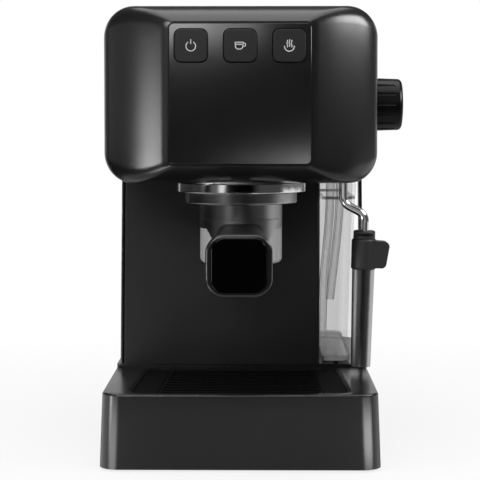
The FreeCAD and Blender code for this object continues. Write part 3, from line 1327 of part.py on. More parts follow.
def wand_grip():
    z1 = GRIP_TOP
    z0 = GRIP_TOP - GRIP_HEIGHT
    bore = WAND_RADIUS + SEAT_GAP
    z_collar = z1 + COLLAR_HEIGHT
    body = turned([(bore, z0, 0), (GRIP_RADIUS, z0, GRIP_EDGE), (GRIP_RADIUS, z1, GRIP_EDGE),
                   (COLLAR_RADIUS, z1, 0), (COLLAR_RADIUS, z_collar, GRIP_EDGE), (bore, z_collar, 0)],
                  vec(X_WAND, Y_KNOB, 0))
    fin = slab_y([(X_WAND, z0 + GRIP_EDGE, 0), (X_WAND + FIN_FOOT, z0 + GRIP_EDGE, FIN_CORNER),
                  (X_WAND + FIN_REACH, z1 - FIN_DROP, FIN_CORNER), (X_WAND, z1 - GRIP_EDGE / 2, 0)],
                 Y_KNOB - FIN_THICK / 2, Y_KNOB + FIN_THICK / 2)
    fin = cut(fin, rod(bore, vec(X_WAND, Y_KNOB, z0), UP, GRIP_HEIGHT))
    z_slot = (z1 + z_collar - COLLAR_SLOT) / 2
    slot = box(X_WAND - COLLAR_RADIUS, X_WAND + COLLAR_RADIUS, Y_KNOB - COLLAR_RADIUS,
               Y_KNOB - WAND_RADIUS - COLLAR_SLOT, z_slot, z_slot + COLLAR_SLOT)
    return leaned(cut(join(body, fin), slot))


def wand_sleeve():
    z1 = GRIP_TOP - GRIP_HEIGHT
    z0 = SLEEVE_FOOT
    profile = [(SLEEVE_FOOT_RADIUS - SLEEVE_SKIN, z0, 0), (SLEEVE_FOOT_RADIUS, z0, SLEEVE_SKIN / 3),
               (SLEEVE_TOP_RADIUS, z1, 0), (SLEEVE_TOP_RADIUS - SLEEVE_SKIN, z1, 0)]
    return leaned(turned(profile, vec(X_WAND, Y_KNOB, 0)))


def wand_nozzle():
    z1 = GRIP_TOP - GRIP_HEIGHT
    bore = WAND_RADIUS + SEAT_GAP
    z_end = WAND_END - FIT
    rim = SLEEVE_TOP_RADIUS - SLEEVE_SKIN - SEAT_GAP
    z_rim = z1 - SLEEVE_LAP
    profile = [(NOZZLE_BORE, NOZZLE_FOOT, 0), (NOZZLE_RADIUS, NOZZLE_FOOT, GRIP_EDGE),
               (NOZZLE_RADIUS, z_rim, 0), (rim, z_rim, 0), (rim - SEAT_GAP, z1, 0),
               (bore, z1, 0), (bore, z_end, 0), (NOZZLE_BORE, z_end, 0)]
    return leaned(turned(profile, vec(X_WAND, Y_KNOB, 0)))


def portafilter_body():
    z_floor = Z_BOWL + BOWL_FLOOR
    z_socket = Z_BOWL - SOCKET_HEIGHT
    bore = BOWL_RADIUS - CUP_SKIN
    profile = [(DRAIN_RADIUS, z_socket, 0), (SOCKET_RADIUS, z_socket, 0), (SOCKET_RADIUS, Z_BOWL, 0),
               (BOWL_RADIUS, Z_BOWL, 0), (BOWL_RADIUS, Z_RIM, 0), (RIM_RADIUS, Z_RIM, RIM_EDGE),
               (RIM_RADIUS, Z_RIM_TOP, RIM_EDGE / 2), (NECK_RADIUS, Z_RIM_TOP, 0),
               (NECK_RADIUS, Z_FILTER_TOP, 0), (BOWL_BORE, Z_FILTER_TOP, 0), (BOWL_BORE, Z_RIM, 0),
               (bore, Z_RIM - CUP_SKIN, 0), (bore, z_floor, 0), (DRAIN_RADIUS, z_floor, 0)]
    body = turned(profile, vec(0, Y_GROUP, 0))
    z_lug = Z_FILTER_TOP - LUG_THICK
    lugs = [ring_sector(NECK_RADIUS - FIT, LUG_RADIUS, z_lug, Z_FILTER_TOP, turn, LUG_ANGLE)
            for turn in (0, 180)]
    notch = ring_sector(RIM_RADIUS - RIM_NOTCH_DEPTH, RIM_RADIUS + RIM_NOTCH_DEPTH, Z_RIM, Z_RIM_TOP,
                        RIM_NOTCH_ANGLE, math.degrees(RIM_NOTCH_WIDTH / RIM_RADIUS))
    foot = vec(0, Y_GROUP, Z_BOWL - APRON_DROP)
    band = cut(rod(BOWL_RADIUS + APRON_SKIN, foot, UP, APRON_DROP + APRON_KNEE_DROP),
               rod(CUP_RADIUS + SEAT_GAP, foot, UP, APRON_DROP),
               rod(BOWL_RADIUS - FIT, vec(0, Y_GROUP, Z_BOWL), UP, APRON_KNEE_DROP))
    z_knee = Z_BOWL - APRON_KNEE_DROP
    z_apron = Z_BOWL + APRON_KNEE_DROP
    shield = slab_y([(-APRON_FOOT, foot.z, 0), (APRON_FOOT, foot.z, 0), (APRON_KNEE, z_knee, 0),
                     (APRON_TOP, z_apron, 0), (-APRON_TOP, z_apron, 0), (-APRON_KNEE, z_knee, 0)],
                    Y_GROUP - 2 * BOWL_RADIUS, Y_GROUP)
    return cut(join(body, *lugs, band.common(shield)), notch)


def filter_basket():
    z0 = Z_FILTER_TOP
    foot = BOWL_RADIUS - CUP_SKIN - SLIDE_GAP - BASKET_DRAFT
    z_foot = z0 - BASKET_DEPTH
    profile = [(0, z_foot, 0), (foot, z_foot, 2 * BASKET_SKIN), (BASKET_RADIUS, z0, 0), (BASKET_RIM, z0, 0),
               (BASKET_RIM, z0 + SEAT_GAP, 0), (BASKET_RADIUS - BASKET_SKIN, z0 + SEAT_GAP, 0),
               (foot - BASKET_SKIN, z_foot + BASKET_SKIN, BASKET_SKIN), (0, z_foot + BASKET_SKIN, 0)]
    return turned(profile, vec(0, Y_GROUP, 0))


def spout_cup():
    inner = CUP_RADIUS - CUP_SKIN
    z1 = Z_BOWL - SEAT_GAP
    profile = [(0, Z_CUP, 0), (CUP_RADIUS, Z_CUP, CUP_EDGE), (CUP_RADIUS, z1, 0), (inner, z1, 0),
               (inner, Z_CUP + CUP_SKIN, CUP_EDGE - CUP_SKIN), (0, Z_CUP + CUP_SKIN, 0)]
    cup = turned(profile, vec(0, Y_GROUP, 0))
    drains = [rod(SPOUT_BORE, vec(side * SPOUT_SIDE, Y_GROUP, Z_CUP), UP, CUP_SKIN) for side in (-1, 1)]
    return cut(cup, *drains)


def spouts():
    solids = []
    for side in (-1, 1):
        foot = vec(side * SPOUT_SIDE, Y_GROUP, Z_CUP - SPOUT_DROP)
        tube = cut(rod(SPOUT_RADIUS, foot, UP, SPOUT_DROP), rod(SPOUT_BORE, foot, UP, SPOUT_DROP))
        wedge = box(-2 * SPOUT_RADIUS, 2 * SPOUT_RADIUS, -SPOUT_RADIUS * 2, SPOUT_RADIUS * 2, -SPOUT_DROP, 0)
        wedge.rotate(vec(0, 0, 0), BACK, side * SPOUT_CUT)
        wedge.translate(foot + UP * SPOUT_RADIUS * math.tan(math.radians(SPOUT_CUT)))
        solids.append(cut(tube, wedge))
    return Part.makeCompound(solids)


def handle_section(reach, width, height, z):
    """Rounded section of the handle at a distance from the group axis."""
    corners = rectangle(-width / 2, width / 2, z - height / 2, z + height / 2, height * HANDLE_ROUND)
    return outline(corners, across_y(Y_GROUP - reach))


def end_corners(width, height, radius):
    """Outline of the handle's end as (x, z)."""
    return rectangle(-width / 2, width / 2, HANDLE_END_Z - height / 2, HANDLE_END_Z + height / 2, radius)


def handle():
    y_end = Y_GROUP - HANDLE_LENGTH
    end_reach = HANDLE_LENGTH - HANDLE_END_BAND
    bar = loft([
        handle_section(BOWL_RADIUS / 2, HANDLE_ROOT_WIDTH, HANDLE_ROOT_HEIGHT, HANDLE_ROOT_Z),
        handle_section(HANDLE_WAIST_REACH, HANDLE_WAIST_WIDTH, HANDLE_WAIST_HEIGHT, HANDLE_ROOT_Z),
        handle_section(HANDLE_MID_REACH, HANDLE_MID_WIDTH, HANDLE_MID_HEIGHT, HANDLE_MID_Z),
        handle_section(end_reach, HANDLE_END_WIDTH, HANDLE_END_HEIGHT, HANDLE_END_Z)], False)
    band = slab_y(end_corners(HANDLE_END_WIDTH, HANDLE_END_HEIGHT, HANDLE_END_HEIGHT * HANDLE_ROUND),
                  y_end, y_end + HANDLE_END_BAND)
    band = rounded_edges(band, HANDLE_EDGE, lies_at_y(y_end))
    seat = slab_y(end_corners(CAP_WIDTH + 2 * FIT, CAP_HEIGHT + 2 * FIT, CAP_CORNER + FIT),
                  y_end, y_end + CAP_SINK)
    bowl = rod(BOWL_RADIUS + APRON_SKIN + SEAT_GAP, vec(0, Y_GROUP, Z_CUP), UP, Z_HEAD - Z_CUP)
    return cut(join(bar, band), seat, bowl)


def handle_cap():
    y0 = Y_GROUP - HANDLE_LENGTH - CAP_PROUD
    plate = slab_y(end_corners(CAP_WIDTH, CAP_HEIGHT, CAP_CORNER), y0, y0 + CAP_PROUD + CAP_SINK)
    return rounded_edges(plate, CAP_EDGE, lies_at_y(y0))


def build():
    """Every piece of the machine by name."""
    pieces = {
        "chassis_plate": chassis_plate(), "feet": feet(), "rear_base": rear_base(),
        "chassis_screws": chassis_screws(), "cord_gland": cord_gland(),
        "drip_tray": drip_tray(), "drip_grid": drip_grid(),
        "left_side_panel": side_panel(-1, Y_BACK - SIDE_REAR_STEP),
        "right_side_panel": side_panel(1, Y_COLUMN + POST_DEPTH),
        "column_front": column_front(), "column_back": column_back(), "water_tank": water_tank(),
        "suction_hose": hose("suction hose", hose_route(SUCTION_TOP, SUCTION_STEPS)),
        "return_hose": hose("return hose", hose_route(RETURN_TOP, RETURN_STEPS)),
        "hose_barbs": hose_barbs(), "suction_line": suction_line(), "return_line": return_line(),
        "pump_body": pump_body(), "pump_coil": pump_coil(), "pump_bracket": pump_bracket(),
        "pump_mounts": pump_mounts(), "feed_line": feed_line(),
        "head_shell": head_shell(), "head_back_cover": head_back_cover(), "cup_tray": cup_tray(),
        "front_panel": front_panel(), "control_board": control_board(), "button_switches": button_switches(),
        "head_frame": head_frame(), "group_head": group_head(), "group_ring": group_ring(),
        "group_gasket": group_gasket(), "shower_screen": shower_screen(), "shower_screw": shower_screw(),
        "boiler": boiler(), "boiler_bolts": boiler_bolts(), "boiler_terminals": boiler_terminals(),
        "thermostats": thermostats(), "relief_valve": relief_valve(),
        "steam_valve": steam_valve(), "valve_bracket": valve_bracket(), "valve_spindle": valve_spindle(),
        "valve_needle": valve_needle(), "steam_knob": steam_knob(), "steam_tube": steam_tube(),
        "wand_feed": wand_feed(), "wand_swivel": wand_swivel(), "steam_pipe": steam_pipe(),
        "wand_grip": wand_grip(), "wand_sleeve": wand_sleeve(), "wand_nozzle": wand_nozzle(),
        "portafilter_body": portafilter_body(), "filter_basket": filter_basket(),
        "spout_cup": spout_cup(), "spouts": spouts(), "handle": handle(), "handle_cap": handle_cap(),
    }
    for name, x in zip(("power_button", "coffee_button", "steam_button"), button_sides()):
        pieces[name] = button(x)
    return pieces


os.makedirs("parts", exist_ok=True)
for name, shape in build().items():
    shape.exportStep("parts/%s.step" % name)
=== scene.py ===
# %% [markdown]
# # A small pump espresso machine
# The machine stands on a flared tray, with an open column behind it, a clear tank beside and behind the
# column, and a deep rounded head that carries the panel, the filter holder and the steam wand.
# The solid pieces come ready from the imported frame. This lesson gives each of them its finish, and makes
# what is soft or printed: the two hoses in the tank and the signs on the buttons.

# %% The frame
import math

import bpy
import bmesh
from mathutils import Matrix, Vector


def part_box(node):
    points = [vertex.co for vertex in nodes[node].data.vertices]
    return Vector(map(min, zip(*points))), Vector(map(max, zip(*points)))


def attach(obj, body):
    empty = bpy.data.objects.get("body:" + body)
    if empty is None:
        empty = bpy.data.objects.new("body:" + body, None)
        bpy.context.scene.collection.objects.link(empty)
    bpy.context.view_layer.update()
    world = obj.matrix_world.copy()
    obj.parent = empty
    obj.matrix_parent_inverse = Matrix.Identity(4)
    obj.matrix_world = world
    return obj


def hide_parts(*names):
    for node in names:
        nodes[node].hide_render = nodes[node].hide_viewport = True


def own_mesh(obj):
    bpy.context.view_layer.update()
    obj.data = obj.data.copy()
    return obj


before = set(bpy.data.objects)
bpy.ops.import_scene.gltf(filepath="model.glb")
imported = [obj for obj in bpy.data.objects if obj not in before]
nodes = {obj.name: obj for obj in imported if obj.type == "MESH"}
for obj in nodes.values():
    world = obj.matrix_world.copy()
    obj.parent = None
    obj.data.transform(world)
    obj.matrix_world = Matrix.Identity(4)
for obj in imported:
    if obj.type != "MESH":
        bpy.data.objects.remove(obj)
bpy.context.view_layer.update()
scene = bpy.context.scene

# %% [markdown]
# ## The camera
# The picture was taken from the front, a little to the right of the middle and a hand above the group, with
# a long lens from about a metre. The depth lines of the tray meet right of and above the middle of the
# picture, so the camera looks slightly left and down. The upright edges hardly lean, so part of the looking
# down is a shift of the lens, as on a studio camera, and the rest is a turn.

# %% The camera
IMAGE_SIZE = 480                # pixels, both ways
FOCAL_PIXELS = 1520.0
MEETING_POINT = (257.0, 130.0)  # where the depth lines meet, in pixels
CAMERA_PLACE = (0.011, -1.1125, 0.2227)
LENS_SHIFT = -0.08              # of the picture's width

lens = bpy.data.cameras.new("camera")
lens.lens = lens.sensor_width * FOCAL_PIXELS / IMAGE_SIZE
lens.shift_y = LENS_SHIFT
camera = bpy.data.objects.new("camera", lens)
yaw = math.atan((MEETING_POINT[0] - IMAGE_SIZE / 2) / FOCAL_PIXELS)
pitch = math.atan((IMAGE_SIZE * (0.5 + LENS_SHIFT) - MEETING_POINT[1]) / FOCAL_PIXELS)
camera.location = CAMERA_PLACE
camera.rotation_euler = (math.pi / 2 - pitch, 0, yaw)
scene.collection.objects.link(camera)
scene.camera = camera
scene.view_settings.view_transform = "Standard"
print("lens %.1f mm, down %.2f and left %.2f degrees" % (lens.lens, math.degrees(pitch), math.degrees(yaw)))

# %% [markdown]
# ## Writing shaders as sums
# A finish is a small net of nodes. Wiring nodes by hand hides the idea, so one class wraps a socket and lets
# plain arithmetic add the Math nodes. Every other node comes from its `node` method, which takes the type,
# the settings and the inputs.

# %% A socket that can be added and multiplied


class Wire:
    """One output socket of a node tree."""

    def __init__(self, tree, socket):
        self.tree = tree
        self.socket = socket

    def node(self, kind, settings, inputs, out=0):
        made = self.tree.nodes.new(kind)
        for key, value in settings.items():
            setattr(made, key, value)
        for key, value in inputs.items():
            if isinstance(value, Wire):
                self.tree.links.new(value.socket, made.inputs[key])
            else:
                made.inputs[key].default_value = value
        return Wire(self.tree, made.outputs[out])

    def math(self, operation, first, second):
        return self.node("ShaderNodeMath", {"operation": operation}, {0: first, 1: second})

    def __add__(self, other):
        return self.math("ADD", self, other)

    def __radd__(self, other):
        return self.math("ADD", other, self)

    def __sub__(self, other):
        return self.math("SUBTRACT", self, other)

    def __rsub__(self, other):
        return self.math("SUBTRACT", other, self)

    def __mul__(self, other):
        return self.math("MULTIPLY", self, other)

    def __rmul__(self, other):
        return self.math("MULTIPLY", other, self)

    def larger(self, other):
        return self.math("MAXIMUM", self, other)

    def noise(self, scale, detail=3.0):
        return self.node("ShaderNodeTexNoise", {}, {"Vector": self, "Scale": scale, "Detail": detail})

    def stretched(self, scale):
        return self.node("ShaderNodeMapping", {}, {"Vector": self, "Scale": scale})

    def between(self, dark, light):
        """A colour from dark to light as this value goes from 0 to 1."""
        return self.node("ShaderNodeMix", {"data_type": "RGBA"}, {0: self, 6: dark, 7: light}, 2)

    def bump(self, strength, distance):
        return self.node("ShaderNodeBump", {}, {"Height": self, "Strength": strength, "Distance": distance})


print("shader arithmetic ready")

# %% A blank finish


def grey(level, warmth=0.0):
    """A grey that leans to red where warmth is above 0 and to blue where it is below."""
    return (level * (1 + warmth), level, level * (1 - warmth), 1.0)


def new_finish(name, constants):
    """A material, its shader and its Object coordinates. What is the same all over goes on the shader."""
    material = bpy.data.materials.new(name)
    material.use_nodes = True
    tree = material.node_tree
    shader = tree.nodes["Principled BSDF"]
    for key, value in constants.items():
        shader.inputs[key].default_value = value
    coordinates = tree.nodes.new("ShaderNodeTexCoord")
    return material, shader, Wire(tree, coordinates.outputs["Object"])


def feed(shader, links):
    """Links wires to the shader's sockets by name."""
    for key, wire in links.items():
        wire.tree.links.new(wire.socket, shader.inputs[key])


print("a middle grey is", grey(0.5))

# %% [markdown]
# ## Black mouldings
# Nearly all of the machine is black plastic, and what tells one moulding from the next is its gloss. The
# housings have a fine spark-eroded grain, under half a millimetre across, that spreads each highlight into a
# soft band. The end of the handle is polished. One recipe covers them: a dark colour that drifts a little, a
# roughness that drifts with it, and a grain that bumps the surface. On the large satin faces the roughness
# drifts least, because there each patch of it would show in a highlight as dust.
# The front panel is polished too, and mirrors the room as a slightly bulging plate does. The plate itself is
# flat, so a bump that falls off from its middle bends what it mirrors.

# %% Black mouldings
GRAIN_SCALE = 2600.0            # grain cells in a metre
GRAIN_DEPTH = 0.00006
CLOUD_SCALE = 26.0
WEAR_SCALE = 234.0
TONE_DRIFT = 0.2                # of the tone, up and down


def toned(cloud, tone, warmth=0.0):
    """A grey that drifts round its tone with the cloud."""
    return cloud.between(grey(tone * (1 - TONE_DRIFT), warmth), grey(tone * (1 + TONE_DRIFT), warmth))


def moulded(name, tone, roughness, drift, grain, level, warmth=0.0):
    """A moulding with a soft drift of tone and gloss, and with a grain where grain is above 0."""
    material, shader, place = new_finish(name, {"Specular IOR Level": level})
    cloud = place.noise(CLOUD_SCALE)
    wear = place.noise(WEAR_SCALE, 5.0)
    feed(shader, {
        "Base Color": toned(cloud, tone, warmth),
        "Roughness": roughness + (cloud - 0.5) * drift + (wear - 0.5) * drift,
    })
    if grain > 0:
        feed(shader, {"Normal": place.noise(GRAIN_SCALE, 1.0).bump(grain, GRAIN_DEPTH)})
    return material


satin_black = moulded("satin_black", 0.008, 0.26, 0.01, 0.08, 0.50)
matt_black = moulded("matt_black", 0.011, 0.46, 0.06, 0.18, 0.30)
grid_black = moulded("grid_black", 0.006, 0.42, 0.05, 0.08, 0.05)
knob_black = moulded("knob_black", 0.003, 0.30, 0.05, 0.08, 0.18)
button_black = moulded("button_black", 0.010, 0.36, 0.05, 0.12, 0.32)
grip_black = moulded("grip_black", 0.022, 0.46, 0.06, 0.18, 0.40)
cap_black = moulded("cap_black", 0.001, 0.07, 0.02, 0.0, 0.20)
inner_black = moulded("inner_black", 0.012, 0.58, 0.08, 0.25, 0.40)
rubber_black = moulded("rubber_black", 0.014, 0.78, 0.10, 0.35, 0.40)
print("the housing's finish has", len(satin_black.node_tree.nodes), "nodes")

# %% The polished panel


def pillowed(name, tone, roughness, drift, middle_height, roundness):
    """A polished flat plate that mirrors like a bulging one; roundness is one over the bulge's radius."""
    material, shader, place = new_finish(name, {})
    cloud = place.noise(CLOUD_SCALE)
    across = place.node("ShaderNodeSeparateXYZ", {}, {0: place}, "X")
    up = place.node("ShaderNodeSeparateXYZ", {}, {0: place}, "Z") - middle_height
    bulge = (across * across + up * up) * (-roundness / 2)
    feed(shader, {
        "Base Color": toned(cloud, tone),
        "Roughness": roughness + (cloud - 0.5) * drift,
        "Normal": bulge.bump(1.0, 1.0),
    })
    return material


gloss_black = pillowed("gloss_black", 0.008, 0.20, 0.02, 0.245, 2.4)
print("the panel's finish has", len(gloss_black.node_tree.nodes), "nodes")

# %% [markdown]
# ## Metals
# The group ring and the wand pipe are chromed and nearly as clear as a mirror. The sleeve of the wand and the
# filter are stainless steel, brushed along their length, so their highlight breaks into fine streaks. The
# streaks are noise that is squeezed across and drawn out along the brushing. The bowl of the filter holder is
# a dull gunmetal, and the cast and turned pieces inside are duller still.

# %% Metals
STREAK_ACROSS = 1500.0
STREAK_ALONG = 22.0
SMUDGE_SCALE = 52.0
SMUDGE_SHADE = 0.9              # a smudge keeps this share of the colour


def shaded(colour, share):
    """A colour that is darker by a share."""
    return (*[share * v for v in colour[:3]], 1.0)


def metal(name, colour, roughness, drift, streak=0.0, grain=0.0):
    """A bare metal with smudges, and either brushed in streaks or cast with a grain."""
    material, shader, place = new_finish(name, {"Metallic": 1.0})
    smudge = place.noise(SMUDGE_SCALE)
    rough = roughness + (smudge - 0.5) * drift
    if streak > 0:
        lines = place.stretched((STREAK_ACROSS, STREAK_ACROSS, STREAK_ALONG)).noise(1.0, 2.0)
        rough = rough + (lines - 0.5) * drift
        feed(shader, {"Normal": lines.bump(streak, GRAIN_DEPTH)})
    elif grain > 0:
        feed(shader, {"Normal": place.noise(GRAIN_SCALE / 2, 2.0).bump(grain, GRAIN_DEPTH)})
    feed(shader, {"Base Color": smudge.between(shaded(colour, SMUDGE_SHADE), colour), "Roughness": rough})
    return material


chrome = metal("chrome", (0.83, 0.83, 0.84, 1.0), 0.16, 0.04)
stainless = metal("stainless", (0.52, 0.52, 0.53, 1.0), 0.36, 0.08, streak=0.10)
zinc_steel = metal("zinc_steel", (0.55, 0.56, 0.58, 1.0), 0.38, 0.15, grain=0.10)
cast_aluminium = metal("cast_aluminium", (0.62, 0.62, 0.64, 1.0), 0.42, 0.15, grain=0.30)
brass = metal("brass", (0.72, 0.53, 0.24, 1.0), 0.28, 0.12, grain=0.05)
gunmetal = metal("gunmetal", (0.52, 0.52, 0.53, 1.0), 0.36, 0.06, grain=0.05)
print("brushed steel has", len(stainless.node_tree.nodes), "nodes")

# %% [markdown]
# ## Clear and milky plastics
# The tank is clear with a grey cast. Its walls are thin and hardly bend what is behind them, so each of them
# is a veil that lets most of the light straight through. The dark band round it at the height of its lip is
# painted shade.
# The hoses are silicone, a thinner and whiter veil. Their left and right sides carry a darker, denser veil
# that is
# painted shade: the dark outline a clear tube shows where its wall is looked through the long way.

# %% Clear and milky plastics
TANK_FOOT = 0.057
TANK_FOOT_TOP = 0.060
TANK_FOOT_VEIL = 0.85
TANK_RIM = 0.1735
TANK_RIM_HALF = 0.0011
# the band round the tank's lip is painted shade: darker and denser where the lip looks dark edge-on
TANK_LIP_SHADE_VEIL = 0.6
TANK_LIP_SHADE_TONE = 0.02
SILICONE_SCALE = 130.0
SILICONE_SHADE = 0.95


def clear_plastic(name, tint, foot_tint, veil, roughness, drift):
    """A thin clear wall that is thick and milky at the foot of the tank, with a dark band of painted shade
    along its lip.
    """
    material, shader, place = new_finish(name, {})
    height = place.node("ShaderNodeSeparateXYZ", {}, {0: place}, "Z")
    foot = height.node("ShaderNodeMapRange", {"interpolation_type": "SMOOTHSTEP"}, {
        "Value": height, "From Min": TANK_FOOT, "From Max": TANK_FOOT_TOP, "To Min": 1.0, "To Max": 0.0})
    # painted shade: a dark band at the height of the lip
    lip_shade = height.node("ShaderNodeMath", {"operation": "COMPARE"}, {
        0: height, 1: TANK_RIM, 2: TANK_RIM_HALF})
    feed(shader, {
        "Base Color": lip_shade.between(foot.between(tint, foot_tint), grey(TANK_LIP_SHADE_TONE)),
        "Roughness": roughness + (place.noise(CLOUD_SCALE) - 0.5) * drift,
        "Alpha": veil + foot * (TANK_FOOT_VEIL - veil) + lip_shade * (TANK_LIP_SHADE_VEIL - veil),
    })
    return material


def milky_plastic(name, colour, veil, roughness, drift):
    """Silicone that is the same veil all over."""
    material, shader, place = new_finish(name, {"Alpha": veil, "IOR": 1.41})
    cloud = place.noise(SILICONE_SCALE)
    feed(shader, {
        "Base Color": cloud.between(shaded(colour, SILICONE_SHADE), colour),
        "Roughness": roughness + (cloud - 0.5) * drift,
    })
    return material


tank_clear = clear_plastic("tank_clear", grey(0.30, -0.02), grey(0.34, -0.02), 0.17, 0.08, 0.04)
hose_silicone = milky_plastic("hose_silicone", (0.98, 0.94, 0.90, 1.0), 0.12, 0.34, 0.10)
# painted shade: the dark outline along the hoses' sides
hose_outline_shade = milky_plastic("hose_outline_shade", (0.14, 0.11, 0.09, 1.0), 0.70, 0.34, 0.10)
print("the tank's finish has", len(tank_clear.node_tree.nodes), "nodes")

# %% [markdown]
# ## Pale plastics and the board
# The tubes in the head and the signs are plain pale plastic and the spout cup is lacquered silver, so the
# recipe of the mouldings makes them too, with a lighter tone. The control board is green lacquer over glass
# cloth: a fine noise stands for the threads, under a clear coat.

# %% Pale plastics and the board
WEAVE_SCALE = 1400.0            # threads of the glass cloth in a metre

silver_lacquer = moulded("silver_lacquer", 0.42, 0.34, 0.06, 0.05, 0.60)
tube_white = moulded("tube_white", 0.70, 0.38, 0.08, 0.0, 0.45, 0.02)
sign_grey = moulded("sign_grey", 0.62, 0.45, 0.06, 0.0, 0.40)


def board_lacquer(name, valley, thread, roughness, drift):
    """Clear lacquer over a fine weave."""
    material, shader, place = new_finish(name, {"Coat Weight": 0.4})
    weave = place.stretched((WEAVE_SCALE, WEAVE_SCALE, WEAVE_SCALE)).noise(1.0, 1.0)
    feed(shader, {
        "Base Color": weave.between(valley, thread),
        "Roughness": roughness + (weave - 0.5) * drift,
    })
    return material


board_green = board_lacquer("board_green", (0.010, 0.070, 0.028, 1), (0.020, 0.110, 0.046, 1), 0.38, 0.10)
print("the board's finish has", len(board_green.node_tree.nodes), "nodes")

# %% [markdown]
# ## A finish for every node
# Each piece from the frame gets its finish by name. Its mesh is loose triangles, so a Weld modifier joins
# them, an Edge Split keeps the real edges sharp while the curved faces shade smoothly, and weighted normals
# let the large faces lead, so that a long thin triangle beside a fillet leaves no streak. The mouldings that
# are round all over have triangles of every size, and there the widest corners lead.

# %% A finish for every node
FINISHES = {
    satin_black: ("head_shell", "head_back_cover", "rear_base", "drip_tray", "left_side_panel",
                  "right_side_panel", "handle"),
    matt_black: ("column_front", "column_back", "cup_tray"),
    grip_black: ("wand_grip",),
    grid_black: ("drip_grid",),
    knob_black: ("steam_knob",),
    button_black: ("power_button", "coffee_button", "steam_button"),
    gloss_black: ("front_panel",),
    cap_black: ("handle_cap",),
    inner_black: ("chassis_plate", "pump_coil", "button_switches", "thermostats", "wand_nozzle", "spouts"),
    rubber_black: ("feet", "cord_gland", "pump_mounts", "group_gasket"),
    gunmetal: ("portafilter_body",),
    chrome: ("group_ring", "steam_pipe"),
    stainless: ("wand_sleeve", "filter_basket", "shower_screen", "shower_screw", "boiler_terminals",
                "valve_needle"),
    zinc_steel: ("chassis_screws", "pump_bracket", "head_frame", "boiler_bolts", "valve_bracket"),
    cast_aluminium: ("group_head", "boiler"),
    brass: ("hose_barbs", "pump_body", "relief_valve", "steam_valve", "valve_spindle", "wand_swivel"),
    silver_lacquer: ("spout_cup",),
    tank_clear: ("water_tank",),
    hose_silicone: ("suction_hose", "return_hose", "suction_line", "return_line"),
    tube_white: ("feed_line", "steam_tube", "wand_feed"),
    board_green: ("control_board",),
}
ROUNDED = ("head_shell", "drip_tray", "rear_base", "handle", "wand_grip", "steam_pipe")
WELD_REACH = 0.00004
SHARP_ANGLE = math.radians(28)


def smooth_solid(piece, leading):
    """Joins a piece's triangles and shades its curved faces smoothly."""
    piece.data.polygons.foreach_set("use_smooth", [True] * len(piece.data.polygons))
    weld = piece.modifiers.new("weld", "WELD")
    weld.merge_threshold = WELD_REACH
    split = piece.modifiers.new("sharp_edges", "EDGE_SPLIT")
    split.split_angle = SHARP_ANGLE
    piece.modifiers.new("weighted_normals", "WEIGHTED_NORMAL").mode = leading


for material, names in FINISHES.items():
    for name in names:
        nodes[name].data.materials.clear()
        nodes[name].data.materials.append(material)
        smooth_solid(nodes[name], "CORNER_ANGLE" if name in ROUNDED else "FACE_AREA")
dressed = {name for names in FINISHES.values() for name in names}
print("finished nodes", len(dressed), "left over", sorted(set(nodes) - dressed))

# %% [markdown]
# ## The hoses in the tank
# Two silicone hoses hang from the head into the tank: one draws water to the pump, the other brings back
# what the relief valve lets go. A hose is limp, so its line is one smooth spline through a few points, and
# the tube is a ring of vertices that walks along that spline. A ring is drawn once, and each step of the
# walk extrudes it, moves it to the next point and turns it square to the line.

# %% The line of a hose
HOSE_RADIUS = 0.0033
HOSE_BORE = 0.0021
HOSE_SIDES = 20
HOSE_SHADED_TURN = 0.84                # a face that turns to the side by more than this gets the painted dark outline
HOSE_SAMPLES = 12               # points of the smooth line for each point of the route
SUCTION_ROUTE = ((0.0765, 0.0860, 0.187), (0.0765, 0.0860, 0.165), (0.0743, 0.0872, 0.139),
                 (0.0715, 0.0888, 0.113), (0.0688, 0.0906, 0.0885))
RETURN_ROUTE = ((0.0685, 0.0770, 0.187), (0.0685, 0.0770, 0.165), (0.0659, 0.0780, 0.133),
                (0.0629, 0.0796, 0.103), (0.0625, 0.0806, 0.065))


def smooth_line(name, route):
    """Points along a NURBS spline with the route as its control points."""
    curve = bpy.data.curves.new(name, "CURVE")
    curve.dimensions = "3D"
    curve.resolution_u = HOSE_SAMPLES
    spline = curve.splines.new("NURBS")
    spline.points.add(len(route) - 1)
    for point, place in zip(spline.points, route):
        point.co = (*place, 1.0)
    spline.order_u = 3
    spline.use_endpoint_u = True
    holder = bpy.data.objects.new(name, curve)
    scene.collection.objects.link(holder)
    mesh = bpy.data.meshes.new_from_object(holder.evaluated_get(bpy.context.evaluated_depsgraph_get()))
    line = [v.co.copy() for v in mesh.vertices]
    bpy.data.objects.remove(holder)
    bpy.data.meshes.remove(mesh)
    return line


suction_points = smooth_line("suction_route", SUCTION_ROUTE)
return_points = smooth_line("return_route", RETURN_ROUTE)


def line_length(points):
    return sum((b - a).length for a, b in zip(points, points[1:]))


print("hose lengths in mm", [round(1000 * line_length(p), 1) for p in (suction_points, return_points)])

# %% The tube along the line


